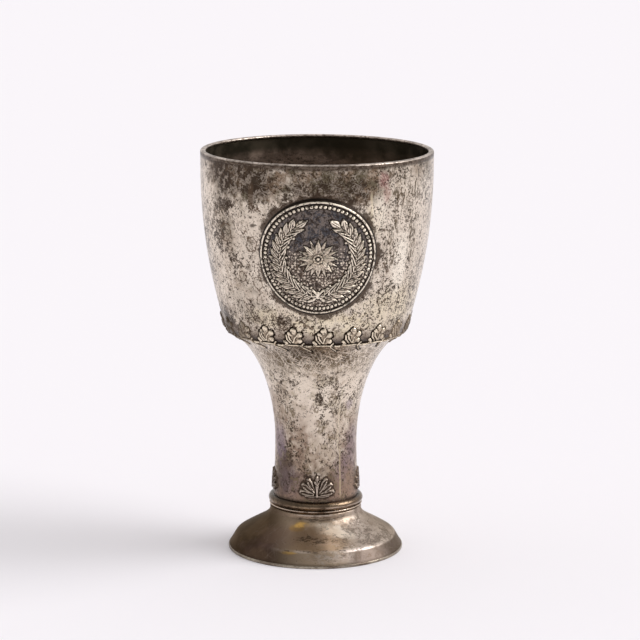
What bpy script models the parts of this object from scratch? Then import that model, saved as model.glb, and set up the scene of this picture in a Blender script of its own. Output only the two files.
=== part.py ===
"""A silver prize goblet: a deep cup on a hollow trumpet stem and a spread ogee foot.

Cup, stem and foot are thin spun sheet. A drawn wire stiffens the mouth, a moulded wire hides the joint
between stem and foot, and a flat wire stiffens the foot's edge. A struck border of lobed leaves runs round
the bottom of the cup, a struck medal lies on its front, and four palmettes stand round the foot of the stem.
All of it is soldered together, so nothing moves. Units are metres, +Z is up, the medal faces -Y, and the
origin is the middle of the circle that the goblet stands on.
"""
import math

import bmesh
import bpy
from mathutils import Matrix, Vector

# Fit and roundness
SEAM = 0.0003                    # space left for solder between two pieces
TURN_STEPS = 36                  # flats round a turned piece
MEDAL_STEPS = 48

# Foot, from the table up
FOOT_WIRE_HEIGHT = 0.0011
FOOT_WIRE_WIDTH = 0.0018
FOOT_WIRE_CHAMFER = 0.0003
FOOT_RADIUS = 0.0326             # outside of the foot wire
FOOT_BAND_RISE = 0.0041          # from the foot's lower edge to the ridge
FOOT_BAND_LEAN = 0.0026          # how far the band leans in over that rise
FOOT_OGEE_RISE = 0.0092          # from the ridge to the lower end of the neck
FOOT_NECK_REACH = 0.0033         # how far the ogee runs on down at the neck's own slope
FOOT_NECK_SLOPE = math.radians(72)
FOOT_SHOULDER_REACH = 0.0062     # how far it keeps the shoulder's slope above the ridge
FOOT_SHOULDER_SLOPE = math.radians(30.4)
FOOT_NECK_RISE = 0.0016
FOOT_NECK_LEDGE = 0.0012         # the neck stands out this far past the stem
FOOT_SHEET = 0.0008
FOOT_HOLE_LEDGE = 0.0013         # the sheet turns in this far under the stem's end

# Stem
STEM_HEIGHT = 0.0664
STEM_SHEET = 0.0008
STEM_END_RADIUS = 0.0158         # at the foot
STEM_WAIST_RADIUS = 0.01514
STEM_WAIST_RISE = 0.0241         # from the foot to the narrowest place
STEM_FLARE_REACH = 0.0210        # how far above the waist the shaft stays slim
STEM_WAIST_REACH = 0.0080        # how far below the waist it stays slim
STEM_END_REACH = 0.0060          # how far above the foot it stays upright
STEM_MOUTH_RUN = 0.0102          # how long the mouth keeps its slope
STEM_MOUTH_GAPE = math.radians(2.3)  # the mouth opens this much more steeply than the dish that sits in it

# Moulded wire on the joint of stem and foot
COLLAR_WIRE_HEIGHT = 0.0040
COLLAR_WIRE_WIDTH = 0.0015

# Cup
CUP_SHEET = 0.0010
CUP_RADIUS = 0.0427              # widest, just under the mouth
CUP_LOW_RADIUS = 0.0333          # where the wall meets the bottom
CUP_WALL_RISE = 0.0605           # from that corner to the widest place
CUP_LIP_RISE = 0.0048            # from the widest place to the wall's upper edge
CUP_BOTTOM_DISH = 0.0050         # how far the bottom hangs below the corner
CUP_CORNER_ROUND = 0.0012
MOUTH_WIRE_HEIGHT = 0.0011
MOUTH_WIRE_CROWN = 0.0007        # height of its rounded top
MOUTH_WIRE_WIDTH = 0.0020

# Leaf border
LEAF_COUNT = 20
RELIEF_EDGE = 0.25               # share of a struck form's relief that stands at its edge
RELIEF_VALLEY = 0.5              # share of the relief that is lost in the veins
BORDER_WIRE_HEIGHT = 0.0016
BORDER_WIRE_WIDTH = 0.0006
BORDER_WIRE_OVERHANG = 0.0007    # how far the border's wire hangs over the stem's mouth
LEAF_WIDTH = 0.0050
LEAF_HEIGHT = 0.0062
LEAF_LOBES = 7
LEAF_NOTCH = 0.38                # how deep the notches cut in, as a share of the leaf's reach
LEAF_TAPER = 0.10                # how much narrower the leaf is at its tip
LEAF_RELIEF = 0.0007
LEAF_LEAN = math.radians(10)
LEAF_RISE = 0.0039               # from the cup's corner to the middle of the leaf
SIDE_LEAF_WIDTH = 0.0027
SIDE_LEAF_HEIGHT = 0.0034
SIDE_LEAF_LOBES = 3
SIDE_LEAF_NOTCH = 0.35
SIDE_LEAF_RELIEF = 0.0006
SIDE_LEAF_LEAN = math.radians(30)
SIDE_LEAF_STEP = 0.0027          # sideways from the leaf to its small neighbour
SIDE_LEAF_RISE = 0.0018
STALK_THICKNESS = 0.0005
STALK_LIFT = 0.0004              # between the wall and the stalk's underside
STALK_RISE = 0.0009              # from the cup's corner to the stalk's root
STALK_BOW = 0.0029               # how far it runs level before it turns down
STALK_REACH = 0.0062             # sideways from the leaf to the stalk's end
STALK_DROP = 0.0028              # from the cup's corner to the stalk's end
BAR_LENGTH = 0.0018
BAR_HEIGHT = 0.0006
BAR_STEP = 0.0048                # sideways from the leaf to the bar
BAR_PROUD = 0.0001               # the bar stands this far out of the wire
BACK_STEP = 0.00006              # each form of the border lies this much further out than the one behind it
BORDER_TURN = math.radians(3.3)  # the first leaf stands this far to the right of the medal's middle

# Medal
MEDAL_RADIUS = 0.0215
MEDAL_THICKNESS = 0.0009
MEDAL_RIM_HEIGHT = 0.0013
MEDAL_RIM_WIDTH = 0.0008
MEDAL_RIM_EDGE = 0.00025         # each side of the rim slopes over this width
MEDAL_RELIEF_ROOT = 0.0004       # how deep the relief reaches into the disc that carries it
MEDAL_RISE = 0.0343              # up the wall from the cup's corner to the medal's middle
ROSETTE_RADIUS = 0.0058
ROSETTE_PETALS = 8
ROSETTE_NOTCH = 0.35
ROSETTE_RELIEF = 0.0006
WREATH_RADIUS = 0.0138
WREATH_LEAVES = 9                # on each branch
WREATH_SWEEP = math.radians(125) # from the bottom of the medal to the branch's tip
WREATH_LEAF_LENGTH = 0.0054
WREATH_LEAF_WIDTH = 0.0025
WREATH_LEAF_TURN = math.radians(28)  # each leaf turns this far off its branch
WREATH_RELIEF = 0.0005
BRANCH_THICKNESS = 0.0007
BRANCH_RELIEF = 0.0002           # how far the branch's own stem stands out of the disc
BOW_LOOP_LENGTH = 0.0050
BOW_LOOP_WIDTH = 0.0024
BOW_SPREAD = math.radians(62)    # each loop leans this far off upright
BOW_KNOT_WIDTH = 0.0018
BOW_RELIEF = 0.0006

# Palmettes
PALMETTE_COUNT = 4
PALMETTE_WIDTH = 0.0127
PALMETTE_HEIGHT = 0.0089
PALMETTE_HEART_RISE = 0.0027     # from the base to the heart that the petals spring from
PALMETTE_PETALS = 7
PALMETTE_NOTCH = 0.28
PALMETTE_RELIEF = 0.0009
PALMETTE_CLEARANCE = 0.0018      # between the collar wire and the palmette's base
PALMETTE_TURN = math.radians(1.1)

FRONT = -math.pi / 2             # the angle that faces -Y
EDGE_SHARPNESS = math.radians(40)
MERGE_DISTANCE = 0.00001


def bezier(start, pull_start, pull_end, end, count):
    """Points on a cubic curve, both ends included."""
    points = []
    for i in range(count + 1):
        t = i / count
        weights = ((1 - t) ** 3, 3 * (1 - t) ** 2 * t, 3 * (1 - t) * t ** 2, t ** 3)
        corners = (start, pull_start, pull_end, end)
        points.append(tuple(sum(w * p[axis] for w, p in zip(weights, corners)) for axis in (0, 1)))
    return points


def point_at(outline, distance):
    """The point that lies this far along an outline, which runs straight on past both of its ends."""
    last = len(outline) - 2
    for i, (a, b) in enumerate(zip(outline, outline[1:])):
        length = math.dist(a, b)
        if distance <= length or i == last:
            share = distance / length
            return (a[0] + (b[0] - a[0]) * share, a[1] + (b[1] - a[1]) * share)
        distance -= length


def outline_length(outline):
    """Length of an outline from its first point to its last."""
    return sum(math.dist(a, b) for a, b in zip(outline, outline[1:]))


def outward(outline, distance, reach):
    """Unit direction out of the wall, taken over a short reach so that it turns gently at a corner."""
    above = point_at(outline, distance - reach)
    below = point_at(outline, distance + reach)
    run = Vector((below[0] - above[0], below[1] - above[1])).normalized()
    return (-run.y, run.x)


def inner_side(outline, sheet):
    """The outline's inner face, one sheet thickness in, point for point."""
    inner = []
    distance = 0
    for i, point in enumerate(outline):
        if i:
            distance += math.dist(outline[i - 1], point)
        out = outward(outline, distance, MERGE_DISTANCE)
        inner.append((max(point[0] - sheet * out[0], 0), point[1] - sheet * out[1]))
    return inner


def on_wall(path, distance, lift, reach):
    """The point that stands this far out of a wall, this far along it."""
    foot = point_at(path, distance)
    out = outward(path, distance, reach)
    return (foot[0] + lift * out[0], foot[1] + lift * out[1])


def half_round(height, width, count):
    """Section of a half-round wire, from the top of its flat side round to the bottom: lift and rise."""
    points = []
    for i in range(count + 1):
        angle = math.pi / 2 - math.pi * i / count
        points.append((width * math.cos(angle), height / 2 * (1 + math.sin(angle))))
    return points


# Heights and outlines that the pieces share
foot_low = FOOT_WIRE_HEIGHT + SEAM
ridge_z = foot_low + FOOT_BAND_RISE
neck_z = ridge_z + FOOT_OGEE_RISE
foot_top = neck_z + FOOT_NECK_RISE
ridge_radius = FOOT_RADIUS - SEAM - FOOT_BAND_LEAN
neck_radius = STEM_END_RADIUS + FOOT_NECK_LEDGE

stem_low = foot_top + SEAM
waist_z = stem_low + STEM_WAIST_RISE
dish_rim = CUP_LOW_RADIUS - CUP_CORNER_ROUND
mouth_slope = 2 * math.atan(CUP_BOTTOM_DISH / dish_rim) + STEM_MOUTH_GAPE
mouth_z = stem_low + STEM_HEIGHT - STEM_SHEET * math.cos(mouth_slope)
mouth_radius = CUP_LOW_RADIUS - SEAM
collar_low = foot_top + SEAM
collar_top = collar_low + COLLAR_WIRE_HEIGHT

cup_low = stem_low + STEM_HEIGHT + SEAM
belly_z = cup_low + CUP_WALL_RISE
cup_top = belly_z + CUP_LIP_RISE

mouth_pull = (mouth_radius - STEM_MOUTH_RUN * math.cos(mouth_slope),
              mouth_z - STEM_MOUTH_RUN * math.sin(mouth_slope))
waist_pull = (STEM_WAIST_RADIUS, waist_z + STEM_FLARE_REACH)
shaft_pull = (STEM_WAIST_RADIUS, waist_z - STEM_WAIST_REACH)
end_pull = (STEM_END_RADIUS, stem_low + STEM_END_REACH)
STEM_OUTLINE = (
    bezier((mouth_radius, mouth_z), mouth_pull, waist_pull, (STEM_WAIST_RADIUS, waist_z), 9)
    + bezier((STEM_WAIST_RADIUS, waist_z), shaft_pull, end_pull, (STEM_END_RADIUS, stem_low), 2)[1:]
)

wall_bulge = CUP_RADIUS - CUP_LOW_RADIUS
wall_arc_radius = (CUP_WALL_RISE ** 2 + wall_bulge ** 2) / (2 * wall_bulge)


def cup_wall_radius(z):
    """Outside of the cup: upright above its widest place, and one long arc below it."""
    drop = max(belly_z - z, 0)
    return CUP_RADIUS - wall_arc_radius + math.sqrt(wall_arc_radius ** 2 - drop ** 2)


def cup_wall():
    """Outside of the wall from its upper edge to just above its rounded corner."""
    count = 7
    low = cup_low + CUP_CORNER_ROUND
    heights = [cup_top] + [belly_z + (low - belly_z) * i / count for i in range(count + 1)]
    return [(cup_wall_radius(z), z) for z in heights]


def cup_bottom():
    """Outside of the rounded corner and of the shallow dish under the cup, ending on the axis."""
    count = 3
    dish_radius = (dish_rim ** 2 + CUP_BOTTOM_DISH ** 2) / (2 * CUP_BOTTOM_DISH)
    centre_z = cup_low - CUP_BOTTOM_DISH + dish_radius
    points = [(CUP_LOW_RADIUS - CUP_CORNER_ROUND * (1 - math.sqrt(0.5)),
               cup_low + CUP_CORNER_ROUND * (1 - math.sqrt(0.5)))]
    for i in range(count + 1):
        radius = dish_rim * (1 - i / count)
        points.append((radius, centre_z - math.sqrt(dish_radius ** 2 - radius ** 2)))
    return points


CUP_WALL = cup_wall()
BORDER_PATH = CUP_WALL + STEM_OUTLINE
corner_distance = outline_length(CUP_WALL) + CUP_CORNER_ROUND


def metal(name, colour, roughness):
    """One soldered piece's metal."""
    material = bpy.data.materials.new(name)
    material.use_nodes = True
    shader = material.node_tree.nodes["Principled BSDF"]
    shader.inputs["Base Color"].default_value = (*colour, 1)
    shader.inputs["Roughness"].default_value = roughness
    shader.inputs["Metallic"].default_value = 1.0
    return material


def new_collection(name):
    """A collection in the scene."""
    collection = bpy.data.collections.new(name)
    bpy.context.scene.collection.children.link(collection)
    return collection


def new_object(name, mesh, collection):
    """An object in one collection."""
    piece = bpy.data.objects.new(name, mesh)
    collection.objects.link(piece)
    return piece


def turned(name, outline, collection, closed, steps=TURN_STEPS):
    """A turned piece: its outline runs down the outer side, and is closed or ends on the axis."""
    mesh = bpy.data.meshes.new(name)
    edges = [(i, i + 1) for i in range(len(outline) - 1)]
    if closed:
        edges.append((len(outline) - 1, 0))
    mesh.from_pydata([(radius, 0, z) for radius, z in outline], edges, [])
    piece = new_object(name, mesh, collection)
    screw = piece.modifiers.new("turn", "SCREW")
    screw.axis = "Z"
    screw.steps = steps
    screw.render_steps = steps
    screw.use_merge_vertices = True
    screw.merge_threshold = MERGE_DISTANCE
    return piece


def frozen(piece):
    """The evaluated mesh of an object, with its seams welded, and the object removed."""
    depsgraph = bpy.context.evaluated_depsgraph_get()
    mesh = bpy.data.meshes.new_from_object(piece.evaluated_get(depsgraph))
    mesh.transform(piece.matrix_world)
    bpy.data.objects.remove(piece)
    work = bmesh.new()
    work.from_mesh(mesh)
    bmesh.ops.remove_doubles(work, verts=work.verts, dist=MERGE_DISTANCE)
    work.to_mesh(mesh)
    work.free()
    return mesh


def guide(piece):
    """Marks a shape that is only joined to another."""
    piece.hide_render = True
    piece.display_type = "WIRE"
    return piece


def lobed(name, width, rise, fall, lobes, per_lobe, notch, relief, low, taper=0, flat_back=True):
    """A struck lobed form lying flat: a ball pressed to a plate, its edge drawn out into lobes.

    It lies in X and Y with its face up. It reaches rise along +Y, where its first lobe points, and fall
    along -Y, and its back is at the height low. The lobes are round and raised, and the valleys between them
    are sharp and sunk, as the veins of a leaf are. A back that is not flat keeps a ring of its own, so that
    it can be bent round a slim wall.
    """
    work = bmesh.new()
    bmesh.ops.create_uvsphere(work, u_segments=lobes * per_lobe, v_segments=4, radius=1)
    if flat_back:
        bmesh.ops.dissolve_verts(work, verts=[vert for vert in work.verts if vert.co.z < -MERGE_DISTANCE])
    for vert in work.verts:
        reach = math.hypot(vert.co.x, vert.co.y)
        swell = abs(math.cos(lobes * (math.atan2(vert.co.y, vert.co.x) - math.pi / 2) / 2))
        draw = 1 - notch * (1 - swell)
        if vert.co.z > MERGE_DISTANCE:
            level = relief * (1 - RELIEF_VALLEY * reach * (1 - swell))
        elif vert.co.z > -MERGE_DISTANCE and not flat_back:
            level = relief * RELIEF_EDGE
        else:
            level = 0
        x = width / 2 * draw * vert.co.x * (1 - taper * vert.co.y)
        y = (rise if vert.co.y > 0 else fall) * draw * vert.co.y
        vert.co = (x, y, low + level)
    mesh = bpy.data.meshes.new(name)
    work.to_mesh(mesh)
    work.free()
    return mesh


def fused(piece, others, name):
    """Adds the other shapes to the piece with one exact union."""
    union = piece.modifiers.new(name, "BOOLEAN")
    union.operation = "UNION"
    union.solver = "EXACT"
    if isinstance(others, bpy.types.Collection):
        union.operand_type = "COLLECTION"
        union.collection = others
    else:
        union.object = others


def wrap(mesh, path, middle, turn, spread):
    """Bends a flat form round a turned wall: X runs round it, Y runs up it, Z stands out of it."""
    ring_radius = point_at(path, middle)[0]
    for vert in mesh.vertices:
        radius, z = on_wall(path, middle - vert.co.y, SEAM + vert.co.z, spread)
        angle = FRONT + turn + vert.co.x / ring_radius
        vert.co = (radius * math.cos(angle), radius * math.sin(angle), z)
    mesh.update()


def shade(piece):
    """Smooth shading that keeps the hard edges."""
    piece.data.shade_smooth()
    piece.data.set_sharp_from_angle(angle=EDGE_SHARPNESS)


def finish(piece, material, root):
    """Gives a piece its metal and hangs it on the goblet's own axis."""
    piece.data.materials.clear()
    piece.data.materials.append(material)
    piece.parent = root
    shade(piece)
    return piece


def make_foot_wire(parts):
    """Flat wire under the foot's edge, which the goblet stands on."""
    inner = FOOT_RADIUS - FOOT_WIRE_WIDTH
    section = [(inner, FOOT_WIRE_HEIGHT), (FOOT_RADIUS - FOOT_WIRE_CHAMFER, FOOT_WIRE_HEIGHT),
               (FOOT_RADIUS, FOOT_WIRE_HEIGHT - FOOT_WIRE_CHAMFER), (FOOT_RADIUS, 0), (inner, 0)]
    return turned("foot_wire", section, parts, closed=True)


def foot_outline():
    """Outside of the foot: the flat top, a short neck, the ogee, the ridge and the leaning band."""
    hole_radius = STEM_END_RADIUS - FOOT_HOLE_LEDGE
    low_radius = ridge_radius + FOOT_BAND_LEAN
    neck_pull = (neck_radius + FOOT_NECK_REACH * math.cos(FOOT_NECK_SLOPE),
                 neck_z - FOOT_NECK_REACH * math.sin(FOOT_NECK_SLOPE))
    shoulder_pull = (ridge_radius - FOOT_SHOULDER_REACH * math.cos(FOOT_SHOULDER_SLOPE),
                     ridge_z + FOOT_SHOULDER_REACH * math.sin(FOOT_SHOULDER_SLOPE))
    ogee = bezier((neck_radius, neck_z), neck_pull, shoulder_pull, (ridge_radius, ridge_z), 7)
    return [(hole_radius, foot_top), (neck_radius, foot_top)] + ogee + [(low_radius, foot_low)]


def make_foot(parts):
    """Spun hollow foot."""
    outer = foot_outline()
    inner = inner_side(outer[2:], FOOT_SHEET)
    inner[-1] = (inner[-1][0], foot_low)
    shoulder = [(inner[0][0], foot_top - FOOT_SHEET), (outer[0][0], foot_top - FOOT_SHEET)]
    return turned("foot", outer + inner[::-1] + shoulder, parts, closed=True)


def make_stem(parts):
    """Spun hollow trumpet."""
    inner = inner_side(STEM_OUTLINE, STEM_SHEET)
    inner[-1] = (inner[-1][0], stem_low)
    return turned("stem", STEM_OUTLINE + inner[::-1], parts, closed=True)


def make_stem_collar(parts):
    """Half-round wire round the end of the stem."""
    section = [(STEM_END_RADIUS + SEAM + lift, collar_low + rise)
               for lift, rise in half_round(COLLAR_WIRE_HEIGHT, COLLAR_WIRE_WIDTH, 6)]
    return turned("stem_collar", section, parts, closed=True)


def make_bowl(parts):
    """Spun cup with its own dished bottom, which sits in the mouth of the trumpet."""
    outer = CUP_WALL + cup_bottom()
    inner = inner_side(outer, CUP_SHEET)
    inner[-1] = (0, inner[-1][1])
    return turned("bowl", inner[::-1] + outer, parts, closed=False)


def make_mouth_wire(parts):
    """Rounded wire on the cup's upper edge, flush with its outside and standing in past its inside."""
    low = cup_top + SEAM
    outer = CUP_RADIUS
    inner = outer - MOUTH_WIRE_WIDTH
    middle = (outer + inner) / 2
    shoulder = low + MOUTH_WIRE_HEIGHT - MOUTH_WIRE_CROWN
    section = []
    count = 6
    for i in range(count + 1):
        angle = math.pi - math.pi * i / count
        section.append((middle + MOUTH_WIRE_WIDTH / 2 * math.cos(angle),
                        shoulder + MOUTH_WIRE_CROWN * math.sin(angle)))
    section += [(outer, low), (inner, low)]
    return turned("mouth_wire", section, parts, closed=True)


def rod(name, path, thickness, lift, guides):
    """A thin straight-sided rod lying flat along a path in X and Y, with its underside at the height lift."""
    curve = bpy.data.curves.new(name, "CURVE")
    curve.dimensions = "3D"
    curve.bevel_depth = thickness / 2
    curve.bevel_resolution = 0
    curve.use_fill_caps = True
    spline = curve.splines.new("POLY")
    spline.points.add(len(path) - 1)
    for point, (x, y) in zip(spline.points, path):
        point.co = (x, y, lift + thickness / 2, 1)
    return frozen(new_object(name, curve, guides))


def make_stalk(guides):
    """Thin stalk that leaves the leaf's base, bows over the wire and runs down over the stem's mouth."""
    bow = (STALK_BOW, STALK_RISE)
    path = bezier((0, STALK_RISE), bow, bow, (STALK_REACH, -STALK_DROP), 3)
    return rod("stalk", path, STALK_THICKNESS, STALK_LIFT, guides)


def make_leaf_unit(guides):
    """One leaf with its small side leaf and stalk, as a flat mesh that the border repeats."""
    leaf_mesh = lobed("leaf", LEAF_WIDTH, LEAF_HEIGHT / 2, LEAF_HEIGHT / 2, LEAF_LOBES, 4, LEAF_NOTCH,
                      LEAF_RELIEF, BACK_STEP, taper=LEAF_TAPER)
    leaf_mesh.transform(Matrix.Translation((0, LEAF_RISE, 0)) @ Matrix.Rotation(LEAF_LEAN, 4, "Z"))
    leaf = new_object("leaf_unit", leaf_mesh, guides)
    side_mesh = lobed("side_leaf", SIDE_LEAF_WIDTH, SIDE_LEAF_HEIGHT / 2, SIDE_LEAF_HEIGHT / 2,
                      SIDE_LEAF_LOBES, 3, SIDE_LEAF_NOTCH, SIDE_LEAF_RELIEF, 2 * BACK_STEP)
    side_mesh.transform(Matrix.Translation((-SIDE_LEAF_STEP, SIDE_LEAF_RISE, 0))
                        @ Matrix.Rotation(SIDE_LEAF_LEAN, 4, "Z"))
    side_leaf = guide(new_object("side_leaf", side_mesh, guides))
    stalk = guide(new_object("stalk", make_stalk(guides), guides))
    fused(leaf, side_leaf, "side_leaf")
    fused(leaf, stalk, "stalk")
    bpy.context.view_layer.update()
    unit = frozen(leaf)
    bpy.data.objects.remove(side_leaf)
    bpy.data.objects.remove(stalk)
    return unit


def make_bar():
    """The short raised bar between two leaves, as a flat mesh."""
    work = bmesh.new()
    bmesh.ops.create_cube(work, size=1)
    mesh = bpy.data.meshes.new("bar")
    work.to_mesh(mesh)
    work.free()
    mesh.transform(Matrix.Translation((BAR_STEP, BORDER_WIRE_HEIGHT / 2, BORDER_WIRE_WIDTH / 2 + BAR_PROUD))
                   @ Matrix.Diagonal((BAR_LENGTH, BAR_HEIGHT, BORDER_WIRE_WIDTH, 1)))
    return mesh


def make_leaf_border(parts, guides):
    """Wire round the cup's lower corner that carries every leaf, stalk and bar."""
    wire_end = corner_distance + BORDER_WIRE_OVERHANG
    section = [on_wall(CUP_WALL, wire_end - rise, SEAM + lift, MERGE_DISTANCE)
               for lift, rise in half_round(BORDER_WIRE_HEIGHT, BORDER_WIRE_WIDTH, 4)]
    border = turned("leaf_border", section, parts, closed=True)
    leaves = bpy.data.collections.new("leaves")
    guides.children.link(leaves)
    for flat in (make_leaf_unit(guides), make_bar()):
        wrap(flat, BORDER_PATH, corner_distance, BORDER_TURN, LEAF_RELIEF)
        for i in range(LEAF_COUNT):
            copy = guide(new_object(f"{flat.name}_{i}", flat, leaves))
            copy.rotation_euler.z = i * math.tau / LEAF_COUNT
    fused(border, leaves, "leaves")
    return border


def medal_blank(guides):
    """The plain struck disc lying flat, with its raised rim."""
    field = MEDAL_RADIUS - MEDAL_RIM_WIDTH
    rings = 3
    front = [(field * i / rings, MEDAL_THICKNESS) for i in range(rings + 1)]
    rim = [(field + MEDAL_RIM_EDGE, MEDAL_RIM_HEIGHT),
           (MEDAL_RADIUS - MEDAL_RIM_EDGE, MEDAL_RIM_HEIGHT),
           (MEDAL_RADIUS, MEDAL_THICKNESS)]
    back = [(MEDAL_RADIUS * i / rings, 0) for i in range(rings, -1, -1)]
    return turned("medal_blank", front + rim + back, guides, closed=False, steps=MEDAL_STEPS)


def ellipse_relief(name, length, width, relief):
    """A pointed oval of relief, lying along Y with its root in the disc."""
    return lobed(name, width, length / 2, length / 2, 2, 3, 0,
                 MEDAL_RELIEF_ROOT + relief, MEDAL_THICKNESS - MEDAL_RELIEF_ROOT)


def wreath_branch(side, relief, guides):
    """One branch of the wreath: its stem, with leaves inside and outside it by turns."""
    count = 9
    path = []
    for i in range(count + 1):
        along = FRONT + side * WREATH_SWEEP * i / count
        path.append((WREATH_RADIUS * math.cos(along), WREATH_RADIUS * math.sin(along)))
    lift = MEDAL_THICKNESS + BRANCH_RELIEF - BRANCH_THICKNESS
    guide(new_object(f"branch_{side}", rod("branch", path, BRANCH_THICKNESS, lift, guides), relief))
    for i in range(WREATH_LEAVES):
        along = FRONT + side * WREATH_SWEEP * (i + 1) / WREATH_LEAVES
        outer = 1 if i % 2 else -1
        leaf = ellipse_relief("wreath_leaf", WREATH_LEAF_LENGTH, WREATH_LEAF_WIDTH, WREATH_RELIEF)
        leaf.transform(Matrix.Rotation(along, 4, "Z")
                       @ Matrix.Translation((WREATH_RADIUS + outer * WREATH_LEAF_WIDTH / 2, 0, 0))
                       @ Matrix.Rotation(-side * outer * WREATH_LEAF_TURN, 4, "Z"))
        guide(new_object(f"wreath_leaf_{side}_{i}", leaf, relief))


def wreath_bow(relief):
    """The bow that ties the two branches at the bottom of the medal."""
    for side in (-1, 1):
        loop = ellipse_relief("bow_loop", BOW_LOOP_LENGTH, BOW_LOOP_WIDTH, BOW_RELIEF)
        loop.transform(Matrix.Translation((0, -WREATH_RADIUS, 0))
                       @ Matrix.Rotation(-side * BOW_SPREAD, 4, "Z")
                       @ Matrix.Translation((0, BOW_LOOP_LENGTH / 2, 0)))
        guide(new_object(f"bow_loop_{side}", loop, relief))
    knot = ellipse_relief("bow_knot", BOW_KNOT_WIDTH, BOW_KNOT_WIDTH, BOW_RELIEF + BRANCH_RELIEF)
    knot.transform(Matrix.Translation((0, -WREATH_RADIUS, 0)))
    guide(new_object("bow_knot", knot, relief))


def make_medal(parts, guides):
    """Struck disc bent to the cup: two leafy branches round a rosette, inside a thin raised rim."""
    blank = medal_blank(guides)
    relief = bpy.data.collections.new("medal_relief")
    guides.children.link(relief)
    rosette = lobed("rosette", 2 * ROSETTE_RADIUS, ROSETTE_RADIUS, ROSETTE_RADIUS, ROSETTE_PETALS, 4,
                    ROSETTE_NOTCH, MEDAL_RELIEF_ROOT + ROSETTE_RELIEF, MEDAL_THICKNESS - MEDAL_RELIEF_ROOT)
    guide(new_object("rosette", rosette, relief))
    for side in (-1, 1):
        wreath_branch(side, relief, guides)
    wreath_bow(relief)
    fused(blank, relief, "relief")
    bpy.context.view_layer.update()
    flat = frozen(blank)
    wrap(flat, BORDER_PATH, corner_distance - MEDAL_RISE, 0, MEDAL_THICKNESS)
    return new_object("medal", flat, parts)


def make_palmettes(parts):
    """Four struck fans of petals round the lower end of the stem."""
    base = collar_top - stem_low + PALMETTE_CLEARANCE
    heart = outline_length(STEM_OUTLINE) - base - PALMETTE_HEART_RISE
    lobes = 2 * PALMETTE_PETALS - 2
    pieces = []
    for i, side in enumerate(("front", "right", "back", "left")):
        fan = lobed(f"palmette_{side}", PALMETTE_WIDTH, PALMETTE_HEIGHT - PALMETTE_HEART_RISE,
                    PALMETTE_HEART_RISE, lobes, 4, PALMETTE_NOTCH, PALMETTE_RELIEF, 0, flat_back=False)
        wrap(fan, STEM_OUTLINE, heart, PALMETTE_TURN + i * math.tau / PALMETTE_COUNT, PALMETTE_RELIEF)
        pieces.append(new_object(f"palmette_{side}", fan, parts))
    return pieces


def build():
    """Makes every piece of the goblet."""
    for old in list(bpy.data.objects):
        bpy.data.objects.remove(old)
    parts = new_collection("goblet")
    guides = new_collection("guides")
    root = new_object("goblet_axis", None, parts)
    cup_silver = metal("cup_silver", (0.42, 0.38, 0.33), 0.38)
    stem_silver = metal("stem_silver", (0.34, 0.30, 0.26), 0.36)
    foot_silver = metal("foot_silver", (0.24, 0.19, 0.15), 0.34)
    wire_silver = metal("wire_silver", (0.50, 0.45, 0.39), 0.30)
    struck_silver = metal("struck_silver", (0.40, 0.36, 0.31), 0.40)

    finish(make_foot_wire(parts), wire_silver, root)
    finish(make_foot(parts), foot_silver, root)
    finish(make_stem(parts), stem_silver, root)
    finish(make_stem_collar(parts), foot_silver, root)
    finish(make_bowl(parts), cup_silver, root)
    finish(make_mouth_wire(parts), wire_silver, root)
    finish(make_leaf_border(parts, guides), struck_silver, root)
    finish(make_medal(parts, guides), struck_silver, root)
    for palmette in make_palmettes(parts):
        finish(palmette, struck_silver, root)


build()
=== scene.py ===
"""Looks of a tarnished silver prize goblet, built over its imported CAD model.

The goblet is dressed in the order in which a silversmith puts it together: foot wire, spun foot, collar wire,
spun stem with its palmettes, spun cup, mouth wire, leaf border and medal. Lengths are metres, but millimetres
in finishes and struck forms where it is said. Z is up, the medal faces -Y, and the goblet stands on the origin.
"""

import math

import bmesh
import bpy
import numpy as np
from mathutils import Matrix, Vector


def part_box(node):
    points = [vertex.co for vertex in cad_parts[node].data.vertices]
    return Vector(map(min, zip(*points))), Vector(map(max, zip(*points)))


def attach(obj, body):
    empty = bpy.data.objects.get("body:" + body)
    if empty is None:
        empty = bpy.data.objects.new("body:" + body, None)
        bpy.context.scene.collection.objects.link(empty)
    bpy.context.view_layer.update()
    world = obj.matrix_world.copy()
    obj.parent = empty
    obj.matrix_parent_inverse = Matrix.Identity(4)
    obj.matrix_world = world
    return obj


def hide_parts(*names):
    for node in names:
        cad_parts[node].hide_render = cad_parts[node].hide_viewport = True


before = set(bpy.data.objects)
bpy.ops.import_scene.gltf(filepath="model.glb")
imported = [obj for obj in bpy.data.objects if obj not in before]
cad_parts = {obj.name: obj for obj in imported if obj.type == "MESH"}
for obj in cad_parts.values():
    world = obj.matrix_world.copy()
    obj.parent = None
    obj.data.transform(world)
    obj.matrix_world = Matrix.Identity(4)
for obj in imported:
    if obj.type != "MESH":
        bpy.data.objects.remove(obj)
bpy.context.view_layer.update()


# Foot wire: a flat silver wire soldered under the edge of the foot, so that the thin sheet doesn't bend.
# It is drawn, then bent to a ring, and its outer corners are worn round. The goblet stands on it.
mm = 0.001
_, foot_wire_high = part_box("foot_wire")
foot_wire_radius = foot_wire_high.x
foot_wire_top = foot_wire_high.z
foot_wire_width = 1.8 * mm
foot_wire_round = 0.35 * mm
spin_steps = 320                     # points round the axis
weld = 0.002 * mm                    # points nearer than this are one
steady = 5 * mm                      # dents fade out within this radius, so that the middle stays closed


def arc(centre, radius, start, end, count):
    """Points on an arc, from one angle to the other, both ends included. A radius may be a pair."""
    wide, high = radius if isinstance(radius, tuple) else (radius, radius)
    angles = [math.radians(start + (end - start) * i / count) for i in range(count + 1)]
    return [(centre[0] + wide * math.cos(angle), centre[1] + high * math.sin(angle)) for angle in angles]


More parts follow.
